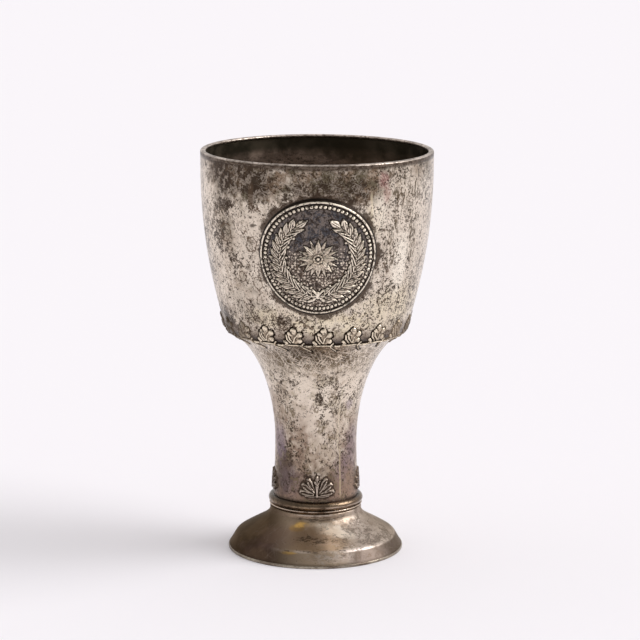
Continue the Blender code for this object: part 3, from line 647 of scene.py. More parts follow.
def stem_finish(outline):
    """Stem silver: pale front panel, dark clusters, violet and brown sides, a few large spots."""
    coat = Finish("stem_tarnish", outline)
    clean = (0.82, 0.72, 0.60)
    olive = (0.36, 0.30, 0.19)
    deep = (0.055, 0.038, 0.026)
    spotted = (0.105, 0.078, 0.062)

    # metal that has lost its polish
    tired = coat.patches([
        (0, 78, 30, 7, 0.40), (-12, 54, 6, 14, -0.35), (12, 66, 8, 8, -0.10), (34, 52, 6, 12, 0.16),
        (-44, 58, 6, 14, 0.25), (-30, 38, 8, 14, 0.40), (20, 36, 14, 8, 0.30), (120, 58, 10, 14, 0.30),
        (-150, 60, 12, 12, 0.35), (180, 40, 16, 12, 0.30),
    ], 0.28)
    dulled = coat.mottled(6, tired, seed=5, stretch=2.2, fine=4, edge=0.10)
    coat.colour = blend(dulled, clean, (0.58, 0.482, 0.378))
    coat.lay(rising(coat.noise(5, 4), 0.5, 0.62), 0.40, olive)

    # brown and violet film, smooth and see-through
    brown = coat.patches([
        (0, 78.5, 28, 7, 0.70), (-20, 51, 8, 13, 0.36), (22, 50, 8, 8, 0.20), (-30, 76, 9, 6, 0.15),
        (-34, 30, 12, 17, 0.80), (0, 25, 16, 8, 0.50), (38, 28, 11, 13, 0.85), (62, 40, 9, 22, 0.75),
        (-68, 46, 10, 26, 0.75), (-25, 45, 5, 12, 0.40), (20, 42, 12, 10, 0.25), (130, 42, 12, 18, 0.75),
        (-140, 38, 14, 17, 0.80), (180, 27, 24, 11, 0.90), (-165, 62, 8, 12, 0.35), (110, 60, 8, 12, 0.30),
        (150, 79, 30, 5, 0.50), (-130, 78, 24, 6, 0.50),
    ]) + rising(coat.z, 32 * mm, 24 * mm)
    veil = calc("MINIMUM", brown * rising(coat.noise(5, 6, 0.7), 0.3, 0.6, 0.6, 1.1), 1)
    coat.lay(veil, 1, (0.300, 0.210, 0.152))
    coat.lay(rising(coat.z, 66 * mm, 76 * mm), 0.35, (0.38, 0.30, 0.19))
    coat.stain([(0, 77, 24, 5, 1.1), (-34, 74, 8, 3, 0.6)], 0.85, (0.18, 0.132, 0.078))
    coat.lay(rising(coat.z, 30 * mm, 22 * mm), 0.35, (0.32, 0.215, 0.165))
    coat.stain([(-52, 31, 8, 13, 1.2)], 0.75, (0.105, 0.070, 0.050))
    violet = [(-62, 42, 6, 10, 0.8), (60, 40, 6, 12, 0.6), (46, 57, 2.5, 3, 0.7), (36, 33, 4, 10, 0.4),
              (-40, 28, 8, 8, 0.3)]
    coat.stain(violet, 0.75, (0.25, 0.195, 0.25))

    # ragged crust in three sizes, gathered in crowds, and spots
    cover = coat.patches([
        (0, 78, 28, 6, 0.10), (0, 69.6, 34, 1.8, 0.18), (-25, 66.3, 3.5, 3.5, 0.26), (-50, 62, 5, 8, 0.18),
        (2, 61, 2.2, 9, 0.26), (38, 61.4, 2.6, 2.6, 0.26), (24, 66, 6, 8, 0.14), (-38, 41, 5, 12, 0.16),
        (-30, 30, 9, 9, 0.15), (10, 53, 3, 5, 0.16), (26, 56, 4, 8, 0.12), (-8, 50, 5, 14, -0.22),
        (-12, 63, 6, 6, -0.20), (14, 72, 6, 4, -0.10), (0, 26, 20, 8, -0.16), (120, 66, 12, 12, 0.20),
        (-120, 58, 12, 16, 0.20), (170, 72, 20, 10, 0.20),
    ], 0.10)
    crowd = coat.crowded(cover, 5)
    crust = coat.mottled(1.7, crowd, seed=31, stretch=1.3, fine=2, edge=0.008)
    coat.lay(crust, 0.80, spotted)
    crowd = coat.crowded(cover * 0.7 + 0.10, 5)
    coat.lay(coat.mottled(0.95, crowd, seed=7, stretch=1.2, fine=1.6, edge=0.012), 0.85, deep)
    crowd = coat.crowded(cover * 0.5 + 0.12, 7)
    coat.lay(coat.mottled(0.85, crowd, seed=93, stretch=1.1, fine=1, edge=0.008), 0.9, deep)
    coat.lay(coat.use(pits, Size=2.6, Share=0.20, Seed=2), 0.85, deep)
    coat.lay(coat.use(pits, Size=1.1, Share=0.20, Seed=4), 0.85, deep)

    # dark halos round the palmettes, and a dark line over the collar
    halo = [(1.1 + 90 * number, 26.4, 11.0, 8.6, 1.0) for number in range(4)]
    coat.stain(halo, 0.55, (0.085, 0.060, 0.044))
    coat.lay(rising(coat.z, collar_high.z + 1.5 * mm, collar_high.z), 0.8, deep)

    # flecks, dried drops, wiping strokes on the flare, two painted reflection lines and scratches
    flecks = coat.mottled(0.9, 0.24, seed=71, stretch=1.2, fine=1.6)
    coat.lay(flecks * rising(coat.z, 40 * mm, 56 * mm), 0.45, clean)
    coat.lay(coat.use(tide, Size=4, Line=0.026, Seed=4), 0.8, spotted)
    coat.lay(coat.use(drop_rings, Size=4.8, Share=0.40, Seed=26), 0.75, (0.19, 0.145, 0.09))
    flare = rising(coat.z, 66 * mm, 75 * mm)
    coat.lay(coat.use(scratches, Length=6, Width=0.62, Share=1.12) * flare, 0.95, clean)
    coat.lay(coat.use(scratches, Length=4.5, Width=0.5, Share=1.06) * flare, 0.62, (0.125, 0.090, 0.056))
    # painted reflections: two pale upright lines where the stem reflects the edge of the light
    coat.lay(coat.run(35, 0.034, 21, 42), 0.5, (0.62, 0.50, 0.33))
    coat.lay(coat.run(31, 0.026, 38, 66), 0.4, (0.86, 0.76, 0.58))
    lines = coat.lay(coat.use(scratches, Length=8, Width=0.16, Share=0.62), 0.5, clean)
    roughness = rising(calc("MAXIMUM", crust, veil), 0, 1, 0.27, 0.42)
    return coat.finish(roughness, (lines, -0.012), (coat.noise(3), 0.05), (crust, -0.012),
                       (coat.noise(0.7, 4, 0.7), 0.04))


stem_mouth = (stem_high.x, stem_high.z)
trumpet = curve(stem_mouth, down_slope(stem_mouth, -mouth_slope, -mouth_run),
                (waist_radius, waist_height + flare_reach), (waist_radius, waist_height), 64)
shaft = curve((waist_radius, waist_height), (waist_radius, waist_height - waist_reach),
              (stem_foot_radius, stem_low.z + end_reach), (stem_foot_radius, stem_low.z), 16)
stem_outline = trumpet + shaft[1:]
inside = inner_face(stem_outline, stem_sheet)
inside[-1] = (inside[-1][0], stem_low.z)
stem_mesh = spun("stem_piece", stem_outline + inside[::-1], stem_finish(stem_outline), *stem_dents, steps=stem_steps)
dressed("stem_piece", stem_mesh, "stem_silver", "stem")


# Palmettes: four small fans of petals struck from thin sheet and soldered round the lower end of the stem.
# The petals' ridges are worn bright, and the hollows between them have kept their tarnish.
palmette_low, palmette_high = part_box("palmette_front")
palmette_height = palmette_high.z - palmette_low.z
palmette_half = 6.35 * mm
palmette_turn = math.radians(1.1)
palmette_cell = 0.1 * mm
palmette_below = 0.9 * mm
fan_width = 0.95                     # share of the drawn width that a fan has on the stem
buried = -0.3                        # millimetres under the wall, where sheet has been cut away
cut_level = -0.2                     # faces under this level are left out


class Relief:
    """Struck forms over a flat grid of points, in millimetres: their height, and how far off the nearest one is."""

    def __init__(self, x, y):
        self.x = x
        self.y = y
        self.level = np.full(x.shape, -9.0)
        self.away = np.full(x.shape, 9.0)

    def raise_to(self, level, away):
        """Takes in one more form."""
        self.level = np.maximum(self.level, level)
        self.away = np.minimum(self.away, away)

    def ridge(self, path, widths, height):
        """A rounded ridge along a path, with a half width at each of its points."""
        for (ax, ay), (bx, by), wide_a, wide_b in zip(path, path[1:], widths, widths[1:]):
            run_x, run_y = bx - ax, by - ay
            share = np.clip(((self.x - ax) * run_x + (self.y - ay) * run_y) / (run_x ** 2 + run_y ** 2), 0, 1)
            wide = wide_a + (wide_b - wide_a) * share
            off = np.hypot(self.x - ax - share * run_x, self.y - ay - share * run_y)
            crown = np.sqrt(np.clip(1 - (off / wide) ** 2, 0, 1)) * height
            self.raise_to(np.where(off < wide, crown, wide - off), off - wide)

    def dome(self, place, radius, height):
        """A round boss."""
        self.ridge([place, (place[0] + 0.01, place[1])], [radius, radius], height)

    def blade(self, root, lean, length, wide, height, rib=0.35):
        """A pointed leaf with a raised midrib, from its root outwards."""
        along = (self.x - root[0]) * math.cos(lean) + (self.y - root[1]) * math.sin(lean)
        side = -(self.x - root[0]) * math.sin(lean) + (self.y - root[1]) * math.cos(lean)
        share = np.clip(along / length, 0.001, 0.999)
        half = wide * np.sin(math.pi * share ** 0.8) + 0.02
        past = np.maximum(np.maximum(-along, along - length), 0)
        off = np.abs(side)
        body = np.sqrt(np.clip(1 - (off / half) ** 2, 0, 1)) * 0.75 + rib * np.exp(-(side / 0.15) ** 2)
        inside = (off < half) & (past == 0)
        outside = np.hypot(np.maximum(off - half, 0), past)
        self.raise_to(np.where(inside, body * height, -outside), np.where(inside, off - half, outside))


def blurred(level, cells):
    """A level smoothed over a number of grid cells each way."""
    for axis in (0, 1):
        level = sum(np.roll(level, step, axis) for step in range(-cells, cells + 1)) / (2 * cells + 1)
    return level


def margin(forms, reach, uneven, seed):
    """Leaves a thin ragged margin of the sheet round the forms, and sinks the rest under the wall."""
    rough = blurred(np.random.default_rng(seed).random(forms.x.shape), 3)
    rough = (rough - rough.mean()) / rough.std()
    forms.level = np.maximum(forms.level, np.where(forms.away + uneven * rough < reach, 0.03, buried))


def hollows(forms, cells):
    """How far each point lies under the forms round it."""
    raised = np.maximum(forms.level, 0)
    return blurred(raised, cells) - raised


def along(path):
    """How far along a path each of its points lies."""
    return np.concatenate([[0], np.cumsum(np.hypot(*np.diff(np.array(path), axis=0).T))])


def on_wall(path, distance, turn, level):
    """Points that stand at a level on a turned wall: this far along its outline, turned this far round."""
    def at(place):
        """Radius and height of the wall at a distance along it."""
        return (np.interp(place, along(path), values) for values in np.array(path).T)

    reach = 0.6 * mm
    radius, height = at(distance)
    run_r, run_z = (after - before for after, before in zip(at(distance + reach), at(distance - reach)))
    run = np.hypot(run_r, run_z)
    radius = radius - level * run_z / run
    return np.stack([radius * np.sin(turn), -radius * np.cos(turn), height + level * run_r / run], -1)


def struck(name, forms, hollow, points, keep=cut_level):
    """A struck sheet: a grid of points in rows, less the faces that lie under a level."""
    rows, columns = forms.level.shape
    index = np.arange(rows * columns).reshape(rows, columns)
    quads = np.stack([index[:-1, :-1], index[:-1, 1:], index[1:, 1:], index[1:, :-1]], -1).reshape(-1, 4)
    quads = quads[forms.level.reshape(-1)[quads].max(axis=1) > keep]
    used = np.unique(quads)
    fresh = np.full(rows * columns, -1)
    fresh[used] = np.arange(len(used))
    mesh = bpy.data.meshes.new(name)
    mesh.from_pydata(points.reshape(-1, 3)[used].tolist(), [], fresh[quads].tolist())
    for label, values in (("level", forms.level), ("hollow", hollow), ("away", forms.away)):
        layer = mesh.attributes.new(label, "FLOAT", "POINT")
        layer.data.foreach_set("value", values.reshape(-1)[used].astype(np.float32))
    mesh.shade_smooth()
    return mesh


def kept(coat, name):
    """A number that a struck piece keeps at each of its points."""
    return add(coat.tree, "ShaderNodeAttribute", {}, "Fac", attribute_name=name)


def struck_finish(name, bright, worn, dark, crust, size, ring):
    """Struck relief: bright worn tops, nearly black hollows, a crusted margin, and duller with painted shade at both
    sides of a ring, most on the left.
    """
    coat = Finish(name)
    away = kept(coat, "away")
    fine = coat.noise(0.5, 5, 0.7)
    shifted = (fine - 0.5) * 0.16 + kept(coat, "hollow")
    coat.colour = blend(rising(coat.noise(size, 4), 0.35, 0.65), worn, tuple(0.7 * c for c in worn))
    coat.lay(rising(shifted, 0.03, -0.08), 1, bright)
    coat.lay(rising(shifted, 0.0, 0.09), 1, dark)
    edge = (fine - 0.5) * 0.5 + away
    coat.lay(rising(edge, 0.02, 0.22), 1, dark)
    coat.lay(rising(edge, 0.45, 0.85), 1, crust)
    # painted shade: pieces near the sides of the ring, as seen from the front, are dulled and darkened, and those on
    # the left more
    side = abs(coat.x)
    coat.lay(rising(side, 0.56 * ring, 0.92 * ring), 0.75, worn)
    coat.lay(rising(side, 0.80 * ring, 0.97 * ring), 0.5, crust)
    coat.lay(rising(coat.x, -0.68 * ring, -0.84 * ring), 0.55, crust)
    rubbed = coat.mottled(1.1, 0.32, seed=37, fine=2)
    coat.lay(rubbed * rising(away, 0.0, -0.1), 0.65, dark)
    return coat.finish(rising(shifted, -0.05, 0.1, 0.33, 0.6), (fine, 0.012))


def palmette_forms(forms):
    """One fan, in millimetres from the middle of its base: three curled petals each way round a stem."""
    for side in (-1, 1):
        forms.ridge([(side * 0.4, 0.45), (side * 2.4, 0.3), (side * 4.4, 0.6)], [0.30, 0.36, 0.42], 0.62)
        for lean, length, wide in ((27, 7.6, 1.0), (51, 7.3, 1.05), (76, 6.7, 0.95)):
            out = math.radians(lean)
            forward = (side * math.sin(out), math.cos(out))
            across = (-side * math.cos(out), math.sin(out))

            def at(*places):
                """Places on this petal, as shares of its length and half width."""
                return [(side * 0.2 + forward[0] * along * length + across[0] * aside * wide,
                         0.7 + forward[1] * along * length * 0.96 + across[1] * aside * wide)
                        for along, aside in places]

            forms.ridge(at((0.25, 0), (0.6, 0), (0.9, 0)), [0.6, wide * 1.12, 1.05], 0.46)
            forms.ridge(at((0.20, -0.1), (0.5, -0.60), (0.80, -0.62)), [0.34, 0.50, 0.48], 0.80)
            forms.ridge(at((0.45, 0.45), (0.72, 0.70), (0.92, 0.30), (0.97, -0.3)), [0.28, 0.42, 0.56, 0.44], 0.76)
    forms.ridge([(0, 0.4), (0, 2.6), (0, 4.2)], [0.44, 0.58, 0.80], 0.86)
    forms.ridge([(-1.0, 6.1), (-0.5, 5.3), (0, 4.9), (0.5, 5.3), (1.0, 6.1)], [0.34, 0.46, 0.56, 0.46, 0.34], 0.80)
    forms.ridge([(0, 6.7), (0, 7.6)], [0.85, 0.60], 0.55)
    forms.ridge([(0, 5.6), (0, 7.7)], [0.30, 0.26], 0.74)


palmette_metal = struck_finish("palmette_tarnish", (0.54, 0.45, 0.375), (0.25, 0.185, 0.14), (0.075, 0.052, 0.038),
                               (0.085, 0.060, 0.044), 3, stem_foot_radius)
flat_x, flat_y = np.meshgrid(
    np.linspace(-1.2 * palmette_half, 1.2 * palmette_half, int(2.4 * palmette_half / palmette_cell)),
    np.linspace(-palmette_below, 1.12 * palmette_height, int(1.2 * palmette_height / palmette_cell)))
forms = Relief(flat_x / mm, flat_y / mm)
palmette_forms(forms)
margin(forms, 0.66, 0.22, 3)
palmette_base = along(stem_outline)[-1] - (palmette_low.z - stem_low.z)
for number, side in enumerate(("front", "right", "back", "left")):
    turn = palmette_turn + number * math.pi / 2 + fan_width * flat_x / stem_foot_radius
    fan = on_wall(stem_outline, palmette_base - flat_y, turn, forms.level * mm)
    mesh = struck(f"palmette_{side}_piece", forms, hollows(forms, 4), fan)
    mesh.materials.append(palmette_metal)
    dressed(f"palmette_{side}_piece", mesh, "struck_silver", f"palmette_{side}")


# Cup: sheet silver spun deep, nearly upright at its mouth, with a sharp corner and a shallow dished bottom.
# Patches of clean metal show through a mottled crust of tarnish, darkest under the mouth and round the medal.
cup_low, cup_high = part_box("bowl")
cup_radius = cup_high.x
cup_top = cup_high.z
cup_dish = 5.0 * mm
cup_corner_radius = 33.3 * mm
cup_corner_height = cup_low.z + cup_dish
cup_corner_round = 1.2 * mm
cup_belly_height = cup_top - 4.8 * mm
cup_sheet = 1.0 * mm
cup_dents = (0.08 * mm, 22 * mm)
wall_steps = 90
dish_steps = 24
wall_bulge = cup_radius - cup_corner_radius
wall_rise = cup_belly_height - cup_corner_height
wall_arc = (wall_rise ** 2 + wall_bulge ** 2) / (2 * wall_bulge)
medal_low, medal_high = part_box("medal")
medal_height = (medal_low.z + medal_high.z) / 2
medal_radius = 21.5 * mm


def cup_wall_radius(height):
    """Outside of the cup at a height: one long arc below its widest place."""
    drop = max(cup_belly_height - height, 0)
    return cup_radius - wall_arc + math.sqrt(wall_arc ** 2 - drop ** 2)


def cup_finish(outline):
    """Cup silver outside: clean patches, brown film, ragged crust, fine specks, streaks and spots."""
    coat = Finish("cup_tarnish", outline)
    clean = (0.80, 0.705, 0.59)
    film = (0.255, 0.180, 0.122)
    olive = (0.155, 0.128, 0.086)
    crusted = (0.120, 0.080, 0.052)
    deep = (0.052, 0.035, 0.024)

    # metal that has lost its polish, in wide soft patches
    tired = coat.patches([
        (-52, 124, 8, 12, 0.34), (-44, 104, 10, 10, 0.10), (0, 141, 30, 9, 0.40), (-46, 143, 20, 8, 0.40),
        (40, 126, 4, 14, 0.14), (55, 116, 4, 16, 0.14), (66, 140, 7, 9, -0.35), (47, 112, 7, 20, -0.42),
        (30, 130, 5, 12, -0.30), (62, 126, 5, 12, -0.20), (-60, 100, 8, 20, 0.15), (-35, 118, 5, 24, -0.30),
        (115, 112, 12, 22, 0.25), (150, 126, 16, 16, 0.30), (-150, 104, 18, 16, 0.35), (-110, 120, 12, 20, 0.25),
    ], 0.24)
    dulled = coat.mottled(6, tired, seed=2, stretch=2.4, fine=4, edge=0.10)
    coat.colour = blend(dulled, clean, (0.60, 0.507, 0.405))
    warm = coat.patches([(50, 96, 24, 12, 0.8), (8, 91, 18, 6, 1.3), (-25, 93, 16, 6, 0.9), (28, 130, 5, 9, 0.6)])
    coat.lay(warm * (1 - dulled), 0.8, (0.82, 0.71, 0.51))
    coat.lay(dulled * rising(coat.noise(4, 4), 0.48, 0.6), 0.35, olive)

    # brown film, smooth and see-through, with dusk under the mouth, and painted highlights on bright panels
    brown = coat.patches([
        (0, 142, 26, 9, 0.90), (-42, 144, 24, 11, 1.20), (24, 143, 13, 11, 0.84), (-42, 98, 14, 12, 0.36),
        (60, 145, 14, 6, 0.40), (-52, 122, 7, 12, 0.25), (-40, 124, 24, 26, 0.18), (-72, 88, 16, 10, 0.50),
        (-78, 105, 9, 26, 0.22), (0, 92, 30, 4, 0.10), (112, 138, 20, 14, 0.50), (170, 142, 30, 10, 0.60),
        (-128, 136, 22, 14, 0.50), (-108, 92, 16, 10, 0.40), (140, 96, 18, 10, 0.35), (100, 112, 10, 24, 0.30),
        (155, 118, 12, 20, 0.35), (-165, 106, 16, 16, 0.30), (-120, 114, 12, 22, 0.40), (180, 90, 34, 5, 0.45),
    ])
    brown = rising(coat.z, cup_top - 8 * mm, cup_top - 1 * mm) * 0.25 + brown
    veil = calc("MINIMUM", brown * rising(coat.noise(5, 6, 0.7), 0.32, 0.62, 0.35, 1.15), 1)
    coat.colour = blend(veil, coat.colour, blend(rising(coat.noise(7), 0.42, 0.58), film, olive))
    dusk = [(-46, 145, 20, 9, 0.9), (-30, 142, 8, 7, 0.6), (-52, 136, 8, 6, 0.4)]
    coat.stain(dusk, 0.92, (0.052, 0.037, 0.026), most=1)
    # painted highlights: bright panels where the lamp's reflection lies on clean metal
    bright = [(47, 112, 5.5, 16, 1.2), (31, 133, 4, 9, 0.6), (66, 139, 6, 8, 0.4), (8, 91, 14, 3, 0.4)]
    coat.stain(bright, 0.72, (0.97, 0.89, 0.76))

    # ragged crust in three sizes, dots and pale flecks, gathered in crowds
    cover = coat.patches([
        (-50, 134, 5, 3, 0.40), (-48, 144, 22, 9, 0.46), (-31, 142, 7, 7, 0.56), (4, 140, 20, 9, 0.30),
        (19, 139, 8, 7, 0.26), (40, 145, 12, 5, 0.16), (70, 138, 14, 16, 0.10), (-34, 137, 2.2, 8, 0.40),
        (-55, 127, 8, 12, 0.22), (-48, 116, 5, 5, 0.18), (-80, 112, 9, 24, 0.20), (-70, 89, 12, 9, 0.36),
        (-40, 95, 8, 7, 0.20), (-37, 128, 7, 8, -0.12), (34, 132, 5, 9, -0.10), (38, 119, 3.4, 13, 0.10),
        (55, 120, 3.2, 15, 0.10), (47, 110, 4.5, 16, -0.26), (112, 138, 18, 12, 0.26), (170, 142, 28, 9, 0.28),
        (-128, 136, 20, 12, 0.26), (-108, 92, 14, 8, 0.20), (140, 96, 16, 8, 0.20), (-165, 112, 12, 16, 0.16),
        (52, 92, 12, 7, 0.14), (9, 91, 12, 4, 0.06), (-22, 92, 9, 5, 0.22),
    ], 0.06)
    crowd = coat.crowded(cover, 9)
    crust = coat.mottled(2.4, crowd, seed=1, stretch=1.3, fine=4, edge=0.012)
    coat.lay(crust, 0.80, crusted)
    crowd = coat.crowded(cover * 0.9 + 0.05, 6)
    coat.lay(coat.mottled(1.3, crowd, seed=21, stretch=1.2, edge=0.012), 0.85, deep)
    crowd = coat.crowded(cover * 0.8 + 0.04, 4)
    coat.lay(coat.mottled(0.62, crowd, seed=41, stretch=1.1, fine=1.6, edge=0.015), 0.85, deep)
    crowd = coat.crowded(cover * 0.5 + 0.13, 8)
    coat.lay(coat.mottled(0.8, crowd, seed=91, stretch=1.1, fine=1, edge=0.008), 0.9, deep)
    crowd = coat.crowded(coat.patches([(-42, 142, 24, 9, 0.24), (2, 140, 24, 8, 0.16)], 0.22), 3)
    flecks = coat.mottled(0.5, crowd, seed=71, stretch=1.2, fine=1.6, edge=0.015)
    coat.lay(flecks, 0.5, (0.52, 0.44, 0.36))

    # dried drops, dashes under the mouth, upright streaks, a pink spot and a painted reflection line
    coat.lay(coat.use(tide, Size=5, Line=0.018, Seed=4), 0.5, deep)
    coat.lay(coat.use(drop_rings, Size=5.4, Share=0.20, Seed=6), 0.85, crusted)
    coat.lay(coat.use(drop_rings, Size=2.8, Share=0.14, Seed=16), 0.85, deep)
    dashed = coat.patches([(2, 141.5, 22, 4, 0.45)])
    coat.lay(coat.mottled(1.6, dashed, seed=8, stretch=0.22), 0.8, deep)
    streaked = coat.patches([(39, 121, 5, 15, 0.40), (55, 122, 6, 17, 0.40), (50, 138, 14, 8, 0.34),
                             (-60, 128, 10, 14, 0.30), (-80, 120, 9, 28, 0.30)], 0.05)
    streaks = coat.mottled(1, streaked, seed=13, stretch=4, fine=2, edge=0.012)
    coat.lay(streaks, 0.85, (0.115, 0.086, 0.052))
    coat.stain([(33, 144, 3, 4, 0.8), (35, 139, 2.4, 5, 0.6)], 0.45, (0.50, 0.23, 0.22))
    # painted reflection: a bright upright line where the wall's reflection changes from dark to light
    coat.lay(coat.run(26.5, 0.016, 121, 141), 0.45, (0.92, 0.80, 0.58))

    # pits, chips, a dark run with its drops, and ringed stains
    coat.lay(coat.use(pits, Size=1.2, Share=0.26, Seed=9), 0.95, deep)
    coat.lay(coat.use(pits, Size=3, Share=0.12, Seed=17), 0.85, crusted)
    chipped = coat.patches([(-58, 122, 8, 10, 0.34), (-46, 112, 7, 7, 0.26), (-30, 143, 10, 6, 0.26),
                            (42, 104, 8, 8, 0.22), (-14, 92, 14, 4, 0.26), (64, 100, 9, 12, 0.18)], 0.13)
    coat.lay(coat.mottled(1.9, chipped, seed=57, stretch=0.8, fine=2, edge=0.007), 0.9, deep)
    coat.lay(coat.run(-34, 0.034, 131, 144), 0.6, crusted)
    drops = [(-34.6, 130.2, 1.2, 0.8, 1.0), (-33.6, 127.4, 1.7, 1.0, 1.0), (-22, 134, 1.0, 0.8, 0.9),
             (-38, 111.5, 1.8, 1.6, 0.6), (-17, 137.5, 1.6, 0.8, 0.8)]
    coat.stain(drops, 0.85, deep, most=1)
    for turn, height, wide in ((-52, 123.5, 3.6), (-35, 120.5, 3.0), (-33, 106, 2.6), (-43, 108, 2.2)):
        stain = coat.stain([(turn, height, wide, 1.2 * wide, 1.0)], 0.15, olive)
        coat.lay(rising(abs(stain - 0.35), 0.24, 0.08), 0.8, crusted)

    # dark ring that solder and old polish have left round the medal, and a dark line under the mouth wire
    around = turn_of(coat.x, coat.y)
    across, upward = around * cup_wall_radius(medal_height), coat.z - medal_height
    away = calc("SQRT", calc("POWER", across, 2) + calc("POWER", upward, 2))
    ragged = (coat.noise(1.6, 5, 0.85) - 0.5) * (7 * mm)
    wander = (coat.noise(6) - 0.5) * (8 * mm)
    ring = rising(away + (ragged + wander), medal_radius + 2.0 * mm, medal_radius + 0.8 * mm)
    coat.lay(ring * calc("LESS_THAN", abs(around), 1.2), 0.92, (0.060, 0.040, 0.028))
    coat.lay(rising(coat.z, cup_top - 1.3 * mm, cup_top - 0.2 * mm), 0.8, deep)

    # dark panels between the leaves of the border, blackest at its foot
    low = coat.z + ragged * 0.6
    coat.lay(rising(low, cup_corner_height + 7.0 * mm, cup_corner_height + 2.2 * mm), 0.74, crusted)
    coat.lay(rising(low, cup_corner_height + 3.2 * mm, cup_corner_height + 1.2 * mm), 0.80, (0.040, 0.033, 0.034))

    lines = coat.lay(coat.use(scratches, Length=9, Width=0.16, Share=0.56), 0.45, clean)
    roughness = rising(calc("MAXIMUM", crust, veil), 0, 1, 0.27, 0.44)
    return coat.finish(roughness, (lines, -0.012), (coat.noise(4), 0.06), (crust, -0.015),
                       (coat.noise(0.7, 4, 0.7), 0.045))


def cup_inside_finish(outline):
    """Cup silver inside: never polished, nearly black, with a brown bloom."""
    coat = Finish("cup_inside_tarnish", outline)
    bloom = rising(coat.noise(9, 4), 0.4, 0.65)
    coat.colour = blend(bloom, (0.155, 0.124, 0.088), (0.22, 0.160, 0.118))
    rubbed = coat.patches([(-155, 140, 34, 6, 0.9), (-178, 138, 24, 5, 0.6), (150, 137, 28, 5, 0.5)])
    coat.lay(rubbed, 0.9, (0.50, 0.37, 0.30))
    deep_down = rising(coat.z, cup_corner_height + 16 * mm, cup_corner_height + 2 * mm)
    dregs = coat.mottled(6, 0.45, seed=81, fine=5, edge=0.06)
    coat.lay(dregs * deep_down, 0.6, (0.085, 0.066, 0.046))
    coat.lay(coat.use(tide, Size=9, Line=0.02, Seed=9) * deep_down, 0.6, (0.04, 0.03, 0.02))
    coat.lay(rising(coat.z, cup_top - 5.5 * mm, cup_top - 3 * mm), 0.7, (0.060, 0.055, 0.036))
    grain = coat.mottled(2, 0.4, seed=61, stretch=0.5, edge=0.05)
    coat.lay(grain * rubbed, 0.55, (0.11, 0.075, 0.055))
    return coat.finish(rising(bloom, 0, 1, 0.34, 0.5), (coat.noise(1.2, 5, 0.7), 0.02))


heights = [cup_top] + [cup_belly_height - (wall_rise - cup_corner_round) * i / wall_steps
                       for i in range(wall_steps + 1)]
cup_wall = [(cup_wall_radius(height), height) for height in heights]
dish_rim = cup_corner_radius - cup_corner_round
corner = arc((dish_rim, cup_corner_height + cup_corner_round), cup_corner_round, -15, -80, 8)
dish_arc = (dish_rim ** 2 + cup_dish ** 2) / (2 * cup_dish)
dish = [(radius, cup_low.z + dish_arc - math.sqrt(dish_arc ** 2 - radius ** 2))
        for radius in (dish_rim * (1 - i / dish_steps) for i in range(dish_steps + 1))]
cup_outside = cup_wall + corner[1:] + dish
inside = inner_face(cup_outside, cup_sheet)
inside[0] = (inside[0][0], cup_top)
inside[-1] = (0.0, inside[-1][1])
cup_mesh = spun("cup_piece", inside[::-1] + cup_outside, cup_finish(cup_wall), *cup_dents)
cup_mesh.materials.append(cup_inside_finish(cup_wall))
for face in cup_mesh.polygons:
    middle = face.center
    away = math.hypot(middle.x, middle.y)
    outer_wall = face.normal.x * middle.x + face.normal.y * middle.y > 0.05 * away
    if not outer_wall and face.normal.z > -0.5:
        face.material_index = 1
dressed("cup_piece", cup_mesh, "cup_silver", "bowl")


# Mouth wire: a rounded wire soldered on the cup's upper edge, flush outside and standing in a little inside.
# Lips and cloths keep its top bright, with a pinkish cast.
_, mouth_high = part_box("mouth_wire")
mouth_radius = mouth_high.x
mouth_width = 2.0 * mm
mouth_crown = 0.7 * mm
mouth_side = 0.35 * mm


def mouth_finish():
    """Mouth wire silver: a rubbed crown, and a side as tarnished as the cup below it."""
    coat = Finish("mouth_wire_silver")
    coat.colour = blend(rising(coat.noise(7, 4), 0.4, 0.6), (0.40, 0.34, 0.30), (0.66, 0.57, 0.51))
    old = coat.mottled(1.4, 0.36, seed=3)
    coat.lay(old, 0.7, (0.12, 0.09, 0.075))
    height = coat.z + (coat.noise(2, 4) - 0.5) * (0.5 * mm)
    side = coat.lay(rising(height, mouth_high.z - 0.38 * mm, mouth_high.z - 0.58 * mm), 0.95, (0.165, 0.125, 0.095))
    crust = coat.mottled(1.6, 0.5, seed=9, stretch=0.8)
    coat.lay(side * crust, 0.85, (0.055, 0.038, 0.028))
    return coat.finish(rising(old, 0, 1, 0.34, 0.46), (coat.noise(0.8, 4), 0.02))


crown = arc((mouth_radius - mouth_width / 2, mouth_high.z - mouth_crown), (mouth_width / 2, mouth_crown), 180, 0, 20)
section = crown + [(mouth_radius, cup_top), (mouth_radius - mouth_width, cup_top + mouth_side)]
mouth_mesh = spun("mouth_wire_piece", section, mouth_finish(), *cup_dents)
dressed("mouth_wire_piece", mouth_mesh, "wire_silver", "mouth_wire")


# Leaf border: a struck strip round the cup's lower corner, with twenty lobed leaves on a wire.
# Each leaf has a small side leaf and a stalk that bows over the wire and runs out on the flare of the stem.
leaf_count = 20
leaf_rise = 3.9                      # millimetres from the cup's corner up to a leaf's middle
border_turn = math.radians(4.1)
border_cell = 0.16 * mm
border_drop = 6.2 * mm
border_rise = 7.6 * mm
border_ring = cup_corner_radius + 0.5 * mm
strip_bend = (cup_corner_radius - 0.12 * mm, cup_corner_height + 0.35 * mm)    # from the cup on to the stem


